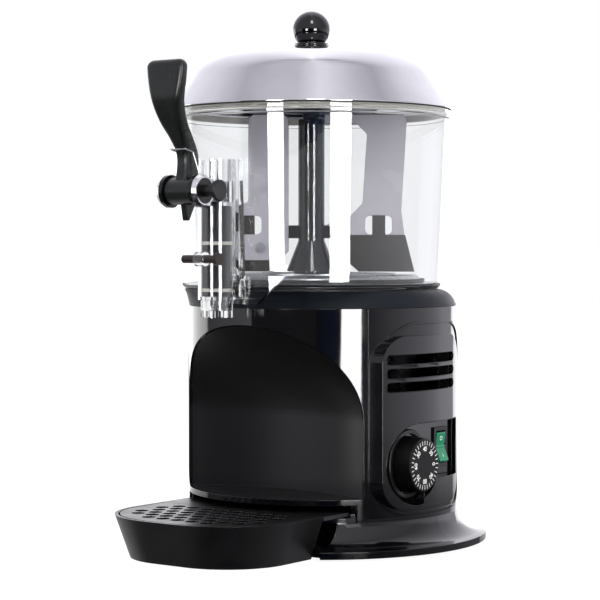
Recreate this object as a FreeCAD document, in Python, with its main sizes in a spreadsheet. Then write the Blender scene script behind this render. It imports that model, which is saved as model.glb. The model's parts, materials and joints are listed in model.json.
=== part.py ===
"""A table-top hot chocolate dispenser: a 3 litre clear bowl over a heated base, with a stirrer and a
lever tap.

The origin is on the table under the middle of the whole machine, +Z is up and the tap faces -Y.
Sizes are in millimetres. Most of them are measured from the bowl's own axis, and every sub-part is
placed on that axis by its Placement.
"""

import FreeCAD, Part
import math
import os

import Sketcher

# Driving dimensions. Heights count from the table, distances along Y count from the bowl's axis
# towards the back, and the front is negative.
SIZES = {
    # Clearances
    "running_fit": 0.06,
    "part_gap": 0.3,
    "body_gap": 0.15,
    "overrun": 20,
    "small_edge": 1,
    # Base: a flared skirt on rubber feet
    "base_radius": 130,
    "base_setback": 10,
    "base_foot_height": 2,
    "base_rim_top": 7,
    "base_flare_radius": 111.5,
    "base_flare_height": 9.5,
    "base_flare_curve": 17,
    "base_neck_radius": 109.6,
    "base_top": 25,
    "base_spigot": 5,
    "base_spigot_wall": 3,
    "base_wall": 3,
    "base_deck_opening": 45,
    "bay_half_width": 76.5,
    "bay_wall": 2.5,
    "ledge_height": 28.7,
    "bay_front_wall": 2.8,
    "foot_radius": 9,
    "foot_circle": 108,
    "foot_angle": 35,
    "foot_stem_radius": 3,
    "foot_stem_height": 4,
    "plate_thickness": 1.5,
    "post_radius": 5,
    "post_count": 4,
    "post_angle": 24,
    "post_circle": 92,
    "screw_radius": 1.75,
    "screw_head_radius": 3.4,
    "screw_head_height": 1.1,
    "screw_length": 9,
    # Body: four panels round one circle
    "body_radius": 104,
    "body_setback": 15,
    "body_top": 181,
    "panel_wall": 3,
    "seam_angle": 54.2,
    "seam_opening": 0.15,
    # Cup space: a scoop in the front panel with an elliptical dome
    "scoop_radius": 163.7,
    "scoop_setback": -189.7,
    "scoop_floor": 41,
    "scoop_spring_height": 97.5,
    "scoop_dome_height": 90,
    "lip_bottom": 36.8,
    # Side covers: an arched bead round a bulging pod with three air slots
    "bead_front": -44.5,
    "bead_back": 74.5,
    "bead_bottom": 27.5,
    "bead_top": 171,
    "bead_corner": 28,
    "bead_crown": 40,
    "bead_width": 2,
    "bead_height": 1,
    "pod_axis_x": -27,
    "pod_axis_y": 7,
    "pod_radius": 134,
    "pod_inner_x": 60,
    "pod_front": -44.7,
    "pod_back": 57,
    "pod_bottom": 32.5,
    "pod_top": 160.5,
    "pod_corner": 21,
    "slot_front": -42.3,
    "slot_back": 44,
    "slot_bottom": 119.5,
    "slot_height": 7.5,
    "slot_pitch": 10.1,
    "slot_count": 3,
    "slot_chamfer": 2.6,
    "louvre_depth": 9,
    "louvre_thickness": 1.6,
    # Controls
    "recess_plane": 95.5,
    "recess_floor": 2.5,
    "recess_wall": 2.5,
    "recess_bottom": 52.5,
    "recess_top": 96,
    "recess_back": 52,
    "recess_radius": 30.5,
    "recess_step": 7,
    "dial_y": -11,
    "dial_z": 65,
    "dial_face_radius": 19.8,
    "dial_skirt_radius": 21,
    "dial_face_x": 111.7,
    "dial_edge": 1,
    "dial_stem_radius": 3,
    "bezel_radius": 26,
    "bezel_height": 2.4,
    "bezel_lip": 3.4,
    "thermostat_width": 30,
    "thermostat_depth": 24,
    "switch_y": 34,
    "switch_z": 74.3,
    "rocker_width": 12,
    "rocker_length": 24,
    "rocker_rise": 4.5,
    "rocker_depth": 6,
    "rocker_pivot_radius": 1.5,
    "switch_frame": 3.2,
    "switch_frame_rise": 1.6,
    "switch_body_depth": 20,
    # Collar, heater pan and gasket
    "collar_top": 194,
    "collar_top_radius": 98.3,
    "collar_middle_height": 189,
    "collar_middle_radius": 102.4,
    "collar_middle_setback": 10,
    "collar_ledge": 188,
    "collar_bore": 86,
    "collar_seat_radius": 92,
    "collar_spigot": 6,
    "collar_spigot_wall": 4,
    "pan_top": 205,
    "pan_radius": 84.5,
    "pan_edge": 5,
    "pan_wall": 1.5,
    "pan_hole_gap": 1,
    "pan_flange_radius": 91.8,
    "pan_ring_radius": 62,
    "pan_ring_width": 3,
    "pan_ring_height": 1.2,
    "gasket_width": 3,
    "gasket_top": 202,
    "element_radius": 58,
    "element_tube": 4,
    # Bowl
    "bowl_bottom": 194.3,
    "bowl_opening": 88,
    "bowl_floor": 3.5,
    "bowl_wall": 3,
    "bowl_bottom_radius": 101.2,
    "bowl_rim_radius": 107.4,
    "bowl_top": 331,
    "bowl_bottom_curve": 6,
    "bowl_rim_ring": 1.6,
    "bowl_rim_ring_height": 3.2,
    "bowl_step": 324,
    # Lid and knob
    "lid_rim_radius": 107.4,
    "lid_edge_height": 4,
    "lid_shoulder_radius": 84.5,
    "lid_shoulder_height": 369.6,
    "lid_shoulder_curve": 32,
    "lid_crown_radius": 56,
    "lid_crown_height": 376.6,
    "lid_top": 381.5,
    "lid_land_radius": 16,
    "lid_wall": 1.4,
    "lid_lip": 6,
    "seal_height": 5,
    "seal_width": 4,
    "knob_radius": 14.5,
    "knob_centre": 393.6,
    "knob_foot_radius": 13.5,
    "knob_foot_height": 1.6,
    "knob_neck_radius": 7,
    "knob_screw_radius": 2.5,
    "knob_screw_head": 5,
    "knob_screw_head_height": 3,
    "knob_screw_length": 14,
    # Drive column and stirrer
    "shaft_radius": 4,
    "shaft_bottom": 168,
    "column_radius": 6.8,
    "column_top": 312,
    "column_foot_radius": 14,
    "column_foot_height": 6,
    "sleeve_radius": 10.2,
    "sleeve_bore": 7.4,
    "sleeve_top": 325,
    "sleeve_cap": 5,
    "sleeve_cone_radius": 19.5,
    "sleeve_cone_top": 231,
    "sleeve_gap": 1,
    "sleeve_bottom": 207.5,
    "arm_bottom": 233,
    "arm_top": 243,
    "arm_depth": 7,
    "arm_reach": 24,
    "cap_nut_radius": 6.5,
    "cap_nut_height": 4.5,
    "stirrer_angle": 36,
    "blade_thickness": 2.4,
    "blade_top": 328.5,
    "blade_bottom": 216,
    "outer_blade_root": 30,
    "outer_blade_inner": 43,
    "outer_blade_waist": 39.6,
    "outer_blade_outer": 74,
    "outer_blade_hip": 69.5,
    "blade_hip_height": 254,
    "blade_notch_height": 260,
    "blade_notch_drop": 10,
    "blade_top_arm": 7,
    "blade_gusset": 8,
    "blade_corner": 3.5,
    "blade_top_corner": 5.5,
    "blade_foot_chamfer": 7,
    "blade_foot_taper": 2.5,
    "inner_blade_inner": 17.6,
    "inner_blade_outer": 48.8,
    "inner_blade_tail": 60,
    "window_width": 21,
    "window_bottom": 236,
    "window_top": 250.5,
    "window_corner": 4,
    "tab_width": 10,
    "outer_tab": 52,
    "inner_tab": 49,
    "scraper_thickness": 3,
    "scraper_top": 235.5,
    "scraper_bottom": 207.2,
    "scraper_tip": 79.6,
    "scraper_heel": 36.5,
    "scraper_chamfer": 6,
    "scraper_taper": 3,
    "scraper_step": 220,
    "inner_scraper_root": 20.6,
    "inner_scraper_heel": 29.6,
    "blade_screw_height": 226,
    "blade_screw_radius": 2,
    "blade_screw_head": 4,
    "blade_screw_head_height": 2,
    "blade_screw_bite": 2,
    # Tap
    "tap_setback": -117,
    "tap_radius": 13.7,
    "tap_bore": 11.5,
    "tap_bottom": 187.6,
    "tap_floor": 2.4,
    "tap_top": 290,
    "tap_plate_half_width": 14,
    "tap_plate_front": -109,
    "tap_plate_bottom": 190,
    "tap_plate_thickness": 7,
    "port_height": 206,
    "port_bore": 6,
    "port_wall": 2,
    "port_seal_wall": 0.8,
    "window_half_width": 4,
    "front_window_bottom": 258,
    "outlet_radius": 11.6,
    "outlet_bore": 8,
    "outlet_bottom": 175,
    "outlet_slot_depth": 5,
    "outlet_slot_width": 4.6,
    "outlet_slot_count": 8,
    "pivot_y": -153,
    "pivot_z": 266,
    "pivot_pin_radius": 3,
    "pivot_head_radius": 7.9,
    "pivot_head_x": 29,
    "pivot_head_length": 3.2,
    "pivot_head_edge": 1.2,
    "pivot_stub_radius": 4.4,
    "pivot_ring_radius": 11.8,
    "pivot_ring_nose": 10.3,
    "pivot_ring_bore": 9.2,
    "pivot_ring_length": 3.2,
    "pivot_cap_length": 2.6,
    "lug_height": 15,
    "lug_inner_x": 12.2,
    "lug_thickness": 3,
    "cross_pin_z": 217.5,
    "cross_pin_radius": 3.05,
    "cross_pin_half_length": 17,
    "cross_pin_collar_radius": 4.6,
    "cross_pin_collar_width": 3.4,
    "saddle_half_width": 4,
    "saddle_wall": 2.2,
    "spill_radius": 104.4,
    "spill_bottom": 184.6,
    "spill_top": 205,
    "spill_end_low": 25,
    "spill_end_high": 44.7,
    "spill_wall": 2.2,
    # Piston in the tap tube
    "piston_radius": 11.2,
    "piston_bottom": 190.4,
    "piston_top": 256,
    "piston_groove": 2.4,
    "piston_groove_depth": 1.6,
    "lower_ring_height": 195,
    "upper_ring_height": 229,
    "piston_stem": 4.4,
    "jaw_half_width": 4.5,
    "jaw_front": -126.5,
    "jaw_short_front": -122,
    "jaw_back": -113,
    "jaw_opening": 7,
    "jaw_thickness": 4,
    "jaw_web": 3.2,
    # Lever
    "lever_hub_radius": 9.8,
    "lever_hub_half_width": 11.9,
    "lever_arm_width": 6,
    "lever_arm_reach": 34,
    "lever_arm_height": 5,
    "lever_toe_bottom": 245,
    "lever_toe_width": 5,
    "lever_toe_front": 4,
    "lever_toe_tip": 2,
    "lever_toe_back": 14,
    "lever_neck_height": 296,
    "lever_neck_width": 11.2,
    "lever_neck_depth": 15.4,
    "lever_neck_y": -152,
    "lever_bend_height": 312.6,
    "lever_bend_width": 18.4,
    "lever_bend_depth": 12,
    "lever_bend_y": -164.2,
    "lever_palm_height": 328,
    "lever_palm_width": 25,
    "lever_palm_depth": 10,
    "lever_palm_y": -171.4,
    "lever_blade_width": 31.4,
    "lever_blade_depth": 9,
    "lever_blade_y": -172.6,
    "lever_blade_height": 344,
    "lever_top": 358,
    "lever_tip_width": 34,
    "lever_tip_depth": 8,
    "lever_tip_corner": 6,
    "lever_crown": 2,
    "clip_wire": 0.6,
    "clip_height": 295.5,
    "clip_foot_y": -148,
    "clip_foot_x": 9.8,
    "clip_drop": 2,
    # Drip tray and grid
    "tray_reach": 182,
    "tray_half_width": 75,
    "tray_corner": 60,
    "tray_inset": 11.2,
    "tray_bottom": 0.5,
    "tray_top": 32,
    "tray_back": -88,
    "tray_wall": 2.5,
    "tray_floor": 2.5,
    "tongue_back": -56,
    "tongue_thickness": 3,
    "grid_thickness": 3,
    "grid_margin": 3.95,
    "grid_hole_radius": 5.6,
    "grid_pitch": 13.5,
    "grid_rim": 7,
    # Inner works
    "chassis_half_width": 52,
    "chassis_front": -18,
    "chassis_back": 70,
    "chassis_top": 150,
    "sheet_thickness": 1.5,
    "chassis_foot": 12,
    "gearbox_half_width": 30,
    "gearbox_front": -16,
    "gearbox_back": 62,
    "gearbox_height": 27,
    "motor_radius": 27,
    "motor_y": 34,
    "motor_bottom": 88,
    "cutout_radius": 8,
    "cutout_height": 6,
    "cutout_y": 30,
    "terminal_width": 40,
    "terminal_depth": 16,
    "terminal_height": 14,
    "gland_radius": 9,
    "gland_bore": 4,
    "gland_neck_radius": 6,
    "gland_reach": 7,
    "gland_z": 48,
}

doc = FreeCAD.newDocument("ChocolateDispenser")
UP = FreeCAD.Vector(0, 0, 1)
ALONG_X = FreeCAD.Rotation(FreeCAD.Vector(0, 1, 0), 90)
ALONG_Y = FreeCAD.Rotation(FreeCAD.Vector(1, 0, 0), -90)
UPRIGHT = FreeCAD.Rotation()
NODES = []


class Size:
    """A length of the design: its value and the spreadsheet formula that it follows."""

    def __init__(self, value, formula):
        self.value = float(value)
        self.formula = formula

    def __add__(self, other):
        return Size(self.value + amount(other), f"({self.formula} + {formula(other)})")

    def __sub__(self, other):
        return Size(self.value - amount(other), f"({self.formula} - {formula(other)})")

    def __mul__(self, other):
        return Size(self.value * amount(other), f"({self.formula} * {formula(other)})")

    def __truediv__(self, other):
        return Size(self.value / amount(other), f"({self.formula} / {formula(other)})")

    def __radd__(self, other):
        return Size(amount(other), formula(other)) + self

    def __rsub__(self, other):
        return Size(amount(other), formula(other)) - self

    def __neg__(self):
        return 0 - self


def amount(size):
    """The value of a Size, or of a plain number."""
    return size.value if isinstance(size, Size) else float(size)


def formula(size):
    """The spreadsheet formula of a Size, or of a plain number."""
    return size.formula if isinstance(size, Size) else repr(size)


class Sheet:
    """The spreadsheet of driving dimensions, read as attributes."""

    def __init__(self, sizes):
        self._cells = doc.addObject("Spreadsheet::Sheet", "Sizes")
        for row, (name, value) in enumerate(sizes.items(), start=1):
            self._cells.set(f"A{row}", name)
            self._cells.set(f"B{row}", str(value))
            self._cells.setAlias(f"B{row}", name)
        doc.recompute()

    def __getattr__(self, name):
        return Size(getattr(self._cells, name), f"Sizes.{name}")


S = Sheet(SIZES)
AXIS_Y = (S.tray_reach - S.base_setback - S.base_radius) / 2


def bind(thing, **sizes):
    """Ties properties of an object to sizes."""
    for name, size in sizes.items():
        thing.setExpression(name, formula(size))
    return thing


def place(thing, x=0, y=0, z=0, turn=UPRIGHT):
    """Sets an object's Placement: a fixed turn, and a position that follows its sizes."""
    thing.Placement = FreeCAD.Placement(FreeCAD.Vector(amount(x), amount(y), amount(z)), turn)
    for letter, size in zip("xyz", (x, y, z)):
        thing.setExpression(f"Placement.Base.{letter}", formula(size))
    return thing


def add(kind, name):
    """A new object of the document."""
    return doc.addObject(kind, name)


def box(name, x, y, z):
    """A box between pairs of limits along each axis."""
    solid = add("Part::Box", name)
    bind(solid, Length=x[1] - x[0], Width=y[1] - y[0], Height=z[1] - z[0])
    return place(solid, x[0], y[0], z[0])


def rod(name, radius, low, high, x=0, y=0, z=0, along=UPRIGHT):
    """A cylinder from low to high along its own direction, through the point x, y, z."""
    solid = add("Part::Cylinder", name)
    bind(solid, Radius=radius, Height=high - low)
    if along is UPRIGHT:
        return place(solid, x, y, low)
    if along is ALONG_X:
        return place(solid, low, y, z, ALONG_X)
    return place(solid, x, low, z, ALONG_Y)


def fuse(name, *solids):
    """One solid from several that overlap or touch."""
    result = add("Part::MultiFuse", name)
    result.Shapes = list(solids)
    result.Refine = True
    return result


def cut(name, base, *tools):
    """The base with every tool taken away."""
    result = add("Part::Cut", name)
    result.Base = base
    result.Tool = tools[0] if len(tools) == 1 else fuse(f"{name}_tools", *tools)
    return result


def common(name, *solids):
    """What several solids share."""
    result = add("Part::MultiCommon", name)
    result.Shapes = list(solids)
    return result


def copies(name, solids):
    """Separate solids kept together in one node."""
    result = add("Part::Compound", name)
    result.Links = list(solids)
    return result


def mirrored(name, solid):
    """The same solid on the machine's other side."""
    result = add("Part::Mirroring", name)
    result.Source = solid
    result.Normal = FreeCAD.Vector(1, 0, 0)
    return result


def node(name, thing, turn=UPRIGHT):
    """Makes an object a sub-part: its name, and its place on the bowl's axis."""
    if not thing.Placement.isIdentity():
        thing = copies(f"{name}_placed", [thing])
    thing.Label = name
    place(thing, 0, AXIS_Y, 0, turn)
    NODES.append(thing)
    return thing


def rounded(before, corner, after, radius):
    """The arc that rounds a corner, and whether it runs anticlockwise."""
    to_before = (before - corner).normalize()
    to_after = (after - corner).normalize()
    half_angle = to_before.getAngle(to_after) / 2
    reach = radius / math.tan(half_angle)
    middle = (to_before + to_after).normalize()
    centre = corner + middle * (radius / math.sin(half_angle))
    start = corner + to_before * reach
    end = corner + to_after * reach
    turns_left = to_before.cross(to_after).z < 0
    return Part.Arc(start, centre - middle * radius, end), start, end, turns_left


def attached_sketch(body, plane, offset):
    """An empty sketch on one of a body's own planes, moved square to it by an offset."""
    sketch = body.newObject("Sketcher::SketchObject", f"{body.Name}_outline")
    support = [item for item in body.Origin.OriginFeatures if item.Role == f"{plane}_Plane"]
    sketch.AttachmentSupport = [(support[0], "")]
    sketch.MapMode = "FlatFace"
    return bind(sketch, **{"AttachmentOffset.Base.z": offset})


def circle(body, plane, radius, x, y, offset):
    """A fully constrained circle."""
    sketch = attached_sketch(body, plane, offset)
    centre = FreeCAD.Vector(amount(x), amount(y), 0)
    sketch.addGeometry(Part.Circle(centre, FreeCAD.Vector(0, 0, 1), amount(radius)))
    sketch.addConstraint([
        Sketcher.Constraint("DistanceX", -1, 1, 0, 3, amount(x)),
        Sketcher.Constraint("DistanceY", -1, 1, 0, 3, amount(y)),
        Sketcher.Constraint("Radius", 0, amount(radius)),
    ])
    for index, size in enumerate((x, y, radius)):
        sketch.setExpression(f"Constraints[{index}]", formula(size))
    return sketch


def outline(body, plane, corners, offset=0):
    """A closed, fully constrained outline; a corner is x, y and, where it is rounded, a radius."""
    sketch = attached_sketch(body, plane, offset)
    points = [FreeCAD.Vector(amount(corner[0]), amount(corner[1]), 0) for corner in corners]
    radii = [amount(corner[2]) if len(corner) > 2 else 0 for corner in corners]
    arcs = {}
    for index, radius in enumerate(radii):
        if radius:
            after = points[(index + 1) % len(points)]
            arcs[index] = rounded(points[index - 1], points[index], after, radius)
    starts = [arcs[index][2] if index in arcs else point for index, point in enumerate(points)]
    ends = [arcs[index][1] if index in arcs else point for index, point in enumerate(points)]
    count = len(points)
    edges = [Part.LineSegment(starts[i], ends[(i + 1) % count]) for i in range(count)]
    sketch.addGeometry(edges)
    rules = []
    bound = []
    for index, corner in enumerate(corners):
        before = (index - 1) % count
        if index in arcs:
            arc_edge = sketch.addGeometry(arcs[index][0])
            first, last = (1, 2) if arcs[index][3] else (2, 1)
            anchor = sketch.addGeometry(Part.Point(points[index]), True)
            rules += [
                Sketcher.Constraint("Tangent", before, 2, arc_edge, first),
                Sketcher.Constraint("Tangent", arc_edge, last, index, 1),
                Sketcher.Constraint("PointOnObject", anchor, 1, before),
                Sketcher.Constraint("PointOnObject", anchor, 1, index),
                Sketcher.Constraint("Radius", arc_edge, radii[index]),
            ]
            bound.append((len(rules) - 1, corner[2]))
        else:
            anchor = index
            rules.append(Sketcher.Constraint("Coincident", before, 2, index, 1))
        for kind, size in zip(("DistanceX", "DistanceY"), corner):
            rules.append(Sketcher.Constraint(kind, -1, 1, anchor, 1, amount(size)))
            bound.append((len(rules) - 1, size))
    sketch.addConstraint(rules)
    for index, size in bound:
        sketch.setExpression(f"Constraints[{index}]", formula(size))
    return sketch


def spun(name, corners, y=0):
    """A solid of revolution round an upright axis, from an outline of radius and height."""
    body = add("PartDesign::Body", name)
    sketch = outline(body, "XZ", corners)
    turned = body.newObject("PartDesign::Revolution", f"{name}_turned")
    turned.Profile = sketch
    turned.ReferenceAxis = (sketch, ["V_Axis"])
    turned.Angle = 360
    return place(body, 0, y, 0)


def spun_along_x(name, corners, y, z):
    """A solid of revolution round an axis along X, from an outline of radius and distance."""
    body = spun(name, corners)
    return place(body, 0, y, z, ALONG_X)


def slab(name, plane, corners, low, high):
    """An outline extruded from low to high square to its plane."""
    body = add("PartDesign::Body", name)
    if plane == "XZ":
        low, high = -high, -low
    sketch = outline(body, plane, corners, low)
    pad = body.newObject("PartDesign::Pad", f"{name}_pad")
    pad.Profile = sketch
    bind(pad, Length=high - low)
    return body


def rectangle(x_low, x_high, y_low, y_high, radius=None):
    """The corners of a rectangle, all rounded alike."""
    corners = [(x_low, y_low), (x_high, y_low), (x_high, y_high), (x_low, y_high)]
    return [corner + (radius,) for corner in corners] if radius is not None else corners


def ring(name, outer, inner, low, high, y=0):
    """An upright tube."""
    return spun(name, rectangle(inner, outer, low, high), y)


def blended(name, sketches, body):
    """A solid blended through sketches that stand one above the other."""
    loft = body.newObject("PartDesign::AdditiveLoft", f"{name}_loft")
    loft.Profile = sketches[0]
    loft.Sections = sketches[1:]
    return body


def lofted(name, sections):
    """A solid blended through outlines, each given as its height and its corners."""
    body = add("PartDesign::Body", name)
    sketches = [outline(body, "XY", corners, height) for height, corners in sections]
    return blended(name, sketches, body)


def lofted_round(name, sections):
    """A solid blended through circles, each given as its height, radius and setback."""
    body = add("PartDesign::Body", name)
    sketches = [circle(body, "XY", radius, 0, y, height) for height, radius, y in sections]
    return blended(name, sketches, body)


def pie(name, radius, low, high, centre_angle, half_angle):
    """An upright wedge of a round bar, opening to both sides of a direction round the body."""
    wedge = rod(name, radius, low, high, y=S.body_setback)
    bind(wedge, Angle=half_angle * 2)
    start = centre_angle - half_angle
    wedge.Placement.Rotation = FreeCAD.Rotation(UP, amount(start))
    wedge.setExpression("Placement.Rotation.Angle", formula(start))
    return wedge


def around(count, radius, first_angle=0, y=0):
    """Points spread evenly round a circle, as pairs of sizes."""
    angles = [math.radians(first_angle + 360 * index / count) for index in range(count)]
    return [(radius * math.cos(angle), y + radius * math.sin(angle)) for angle in angles]


def polar(radius, degrees):
    """A point at a radius and an angle, as a pair of sizes."""
    return radius * math.cos(math.radians(degrees)), radius * math.sin(math.radians(degrees))


# Base: skirt, bottom plate, feet and screws ------------------------------------------------------

def skirt(name, inset, bottom):
    """The flared skirt as a filled turning, inset by a wall from its outer face."""
    return spun(name, [
        (0, bottom),
        (S.base_radius - inset, bottom),
        (S.base_radius - inset, S.base_rim_top - inset / 2),
        (S.base_flare_radius - inset, S.base_flare_height - inset, S.base_flare_curve),
        (S.base_neck_radius - inset, S.base_top - inset),
        (0, S.base_top - inset),
    ], S.base_setback)


def make_base():
    """The flared base with the tray's bay, its bottom plate, feet and screws."""
    outer = skirt("skirt_outside", 0, S.base_foot_height)
    inner = skirt("skirt_inside", S.base_wall, S.base_foot_height - S.base_wall)
    deck_hole = rod("deck_hole", S.base_deck_opening, 0, S.base_top + S.overrun, y=S.base_setback)
    outside_half = S.bay_half_width + S.bay_wall
    bay_front = -S.base_radius
    bay_back = S.tongue_back + S.part_gap
    ledge_back = bay_back + S.bay_wall
    bay_block = box("bay_block", (-outside_half, outside_half), (bay_front, ledge_back),
                    (S.base_foot_height, S.ledge_height))
    neck = rod("bay_neck", S.base_neck_radius, S.base_foot_height, S.ledge_height,
               y=S.base_setback)
    footprint = fuse("bay_footprint", skirt("bay_skirt", 0, S.base_foot_height), neck)
    bay = common("bay_walls", bay_block, footprint)
    spigot = ring("base_spigot", S.body_radius - S.panel_wall - S.body_gap,
                  S.body_radius - S.panel_wall - S.body_gap - S.base_spigot_wall,
                  S.base_top, S.base_top + S.base_spigot, S.body_setback)
    spigot_gap = box("spigot_gap", (-outside_half, outside_half), (bay_front, ledge_back),
                     (S.ledge_height, S.scoop_floor))
    hollow_front = S.tray_back + S.part_gap
    bay_hollow = box("bay_hollow", (-S.bay_half_width, S.bay_half_width),
                     (bay_front - S.overrun, hollow_front), (0, S.scoop_floor))
    under_ledge = box("under_ledge", (-S.bay_half_width + S.bay_wall, S.bay_half_width - S.bay_wall),
                      (hollow_front + S.bay_front_wall, bay_back),
                      (0, S.ledge_height - S.bay_front_wall))
    posts = []
    holes = []
    post_places = around(SIZES["post_count"], S.post_circle, SIZES["post_angle"], S.base_setback)
    bottom = S.base_foot_height + S.plate_thickness
    for index, (x, y) in enumerate(post_places):
        posts.append(rod(f"post_{index}", S.post_radius, bottom, S.base_top - S.base_wall, x, y))
        holes.append(rod(f"post_hole_{index}", S.screw_radius, 0, bottom + S.screw_length, x, y))
    shell = cut("skirt_shell", outer, inner, deck_hole)
    body = fuse("base_solid", shell, bay, spigot, *posts)
    plate_front = hollow_front + S.bay_front_wall + S.body_gap
    plate_room = box("plate_room", (-outside_half - S.body_gap, outside_half + S.body_gap),
                     (plate_front - S.body_gap, ledge_back + S.body_gap),
                     (0, S.base_foot_height + S.plate_thickness + S.body_gap))
    node("base_shell", cut("base", body, bay_hollow, under_ledge, spigot_gap, plate_room, *holes))

    plate_radius = S.base_radius - S.base_wall - S.body_gap
    plate = rod("plate_disc", plate_radius, S.base_foot_height,
                S.base_foot_height + S.plate_thickness, y=S.base_setback)
    plate_bay = box("plate_bay", (-outside_half - S.body_gap, outside_half + S.body_gap),
                    (-S.base_radius - S.overrun, plate_front), (0, S.base_top))
    plate_cuts = [plate_bay]
    foot_x, foot_y = polar(S.foot_circle, SIZES["foot_angle"])
    foot_places = [(foot_x * sign_x, S.base_setback + foot_y * sign_y)
                   for sign_x in (-1, 1) for sign_y in (-1, 1)]
    feet = []
    screws = []
    for index, (x, y) in enumerate(foot_places):
        top = S.base_foot_height + S.foot_stem_height
        pad = rod(f"foot_pad_{index}", S.foot_radius, 0, S.base_foot_height, x, y)
        stem = rod(f"foot_stem_{index}", S.foot_stem_radius, 0, top, x, y)
        feet.append(fuse(f"foot_{index}", pad, stem))
        plate_cuts.append(rod(f"foot_hole_{index}", S.foot_stem_radius + S.body_gap, 0, top, x, y))
    for index, (x, y) in enumerate(post_places):
        head = rod(f"base_screw_head_{index}", S.screw_head_radius,
                   S.base_foot_height - S.screw_head_height, S.base_foot_height, x, y)
        shank = rod(f"base_screw_shank_{index}", S.screw_radius - S.running_fit,
                    S.base_foot_height - S.screw_head_height,
                    bottom + S.screw_length - S.part_gap, x, y)
        screws.append(fuse(f"base_screw_{index}", head, shank))
        plate_cuts.append(rod(f"screw_hole_{index}", S.screw_radius, 0, S.base_top, x, y))
    node("base_plate", cut("plate", plate, *plate_cuts))
    node("rubber_feet", copies("feet", feet))
    node("base_screws", copies("screws", screws))


# Body: front panel with its scoop, side covers and rear panel ------------------------------------

def panel_shell(name, centre_angle, half_angle):
    """A curved panel: one sector of the body's round wall."""
    outer = pie(f"{name}_outside", S.body_radius, S.base_top, S.body_top, centre_angle, half_angle)
    inner = rod(f"{name}_inside", S.body_radius - S.panel_wall, 0, S.body_top + S.overrun,
                y=S.body_setback)
    return cut(f"{name}_wall", outer, inner)


def scoop(name, wall, floor):
    """The cup space as a solid: an upright round bar with an elliptical dome on top."""
    radius = S.scoop_radius + wall
    shaft = rod(f"{name}_shaft", radius, floor, S.scoop_spring_height, y=S.scoop_setback)
    dome = add("Part::Ellipsoid", f"{name}_dome")
    bind(dome, Radius1=S.scoop_dome_height + wall, Radius2=radius, Radius3=radius)
    dome.Angle1 = 0
    place(dome, 0, S.scoop_setback, S.scoop_spring_height)
    return fuse(name, shaft, dome)


def make_front_panel():
    """The front panel: a curved wall lined with the deep arched scoop for a cup."""
    wall = panel_shell("front", -90, S.seam_angle)
    sector = pie("scoop_sector", S.body_radius, S.base_top, S.body_top, -90, S.seam_angle)
    lining = common("scoop_lining", sector, scoop("scoop_outside", S.panel_wall, S.lip_bottom))
    half = S.bay_half_width + S.bay_wall + S.part_gap
    notch = box("bay_notch", (-half, half), (-S.body_radius, S.tongue_back + S.bay_wall * 2),
                (0, S.lip_bottom))
    solid = fuse("front_solid", wall, lining)
    node("front_panel", cut("front", solid, scoop("scoop_inside", 0, S.scoop_floor), notch))


def arch(name, inset):
    """The bead's arched outline as a solid: wide round shoulders above, tighter corners below."""
    low_corner = S.bead_corner - inset
    high_corner = S.bead_crown - inset
    front = S.bead_front + inset
    back = S.bead_back - inset
    bottom = S.bead_bottom + inset
    top = S.bead_top - inset
    return slab(name, "YZ", [(front, bottom, low_corner), (back, bottom, low_corner),
                             (back, top, high_corner), (front, top, high_corner)],
                0, S.body_radius + S.overrun)


def arched_bead(name):
    """The thin raised line that frames a side cover."""
    proud = ring(f"{name}_proud", S.body_radius + S.bead_height, S.body_radius - S.bead_height,
                 S.base_top, S.body_top, S.body_setback)
    return cut(name, common(f"{name}_solid", proud, arch(f"{name}_outside", 0)),
               arch(f"{name}_inside", S.bead_width))


def pod_block(name, inset, inner_x):
    """The pod as a solid: its rounded side outline within a large round bar."""
    side = slab(f"{name}_side", "YZ",
                rectangle(S.pod_front + inset, S.pod_back - inset, S.pod_bottom + inset,
                          S.pod_top - inset, S.pod_corner - inset),
                inner_x, S.body_radius + S.overrun)
    face = rod(f"{name}_face", S.pod_radius - inset, 0, S.body_top, S.pod_axis_x, S.pod_axis_y)
    return common(name, side, face)


def cover_slots(name):
    """The air slots, each with its ends cut back at the corners."""
    step = S.slot_chamfer
    slots = []
    for index in range(SIZES["slot_count"]):
        low = S.slot_bottom + S.slot_pitch * index
        high = low + S.slot_height
        slots.append(slab(f"{name}_{index}", "YZ", [
            (S.slot_front, low + step), (S.slot_front + step, low),
            (S.slot_back - step, low), (S.slot_back, low + step),
            (S.slot_back, high - step), (S.slot_back - step, high),
            (S.slot_front + step, high), (S.slot_front, high - step),
        ], S.pod_inner_x, S.body_radius + S.overrun))
    return slots


def recess(name, wall, low):
    """The control recess from a plane outwards: round towards the front, straight behind."""
    high = S.dial_face_x + S.overrun
    large = rod(f"{name}_large", S.recess_radius + wall, low, high, 0, S.dial_y, S.dial_z, ALONG_X)
    behind = box(f"{name}_behind", (low, high),
                 (S.dial_y + S.recess_step + wall, S.dial_y + S.recess_radius + S.overrun),
                 (0, S.dial_z))
    bezel_room = rod(f"{name}_bezel_room", S.bezel_radius + S.part_gap + wall, low, high, 0,
                     S.dial_y, S.dial_z, ALONG_X)
    straight = box(f"{name}_straight", (low, high), (S.dial_y, S.recess_back + wall),
                   (S.recess_bottom - wall, S.recess_top + wall))
    return fuse(name, cut(f"{name}_front", large, behind), bezel_room, straight)


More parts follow.
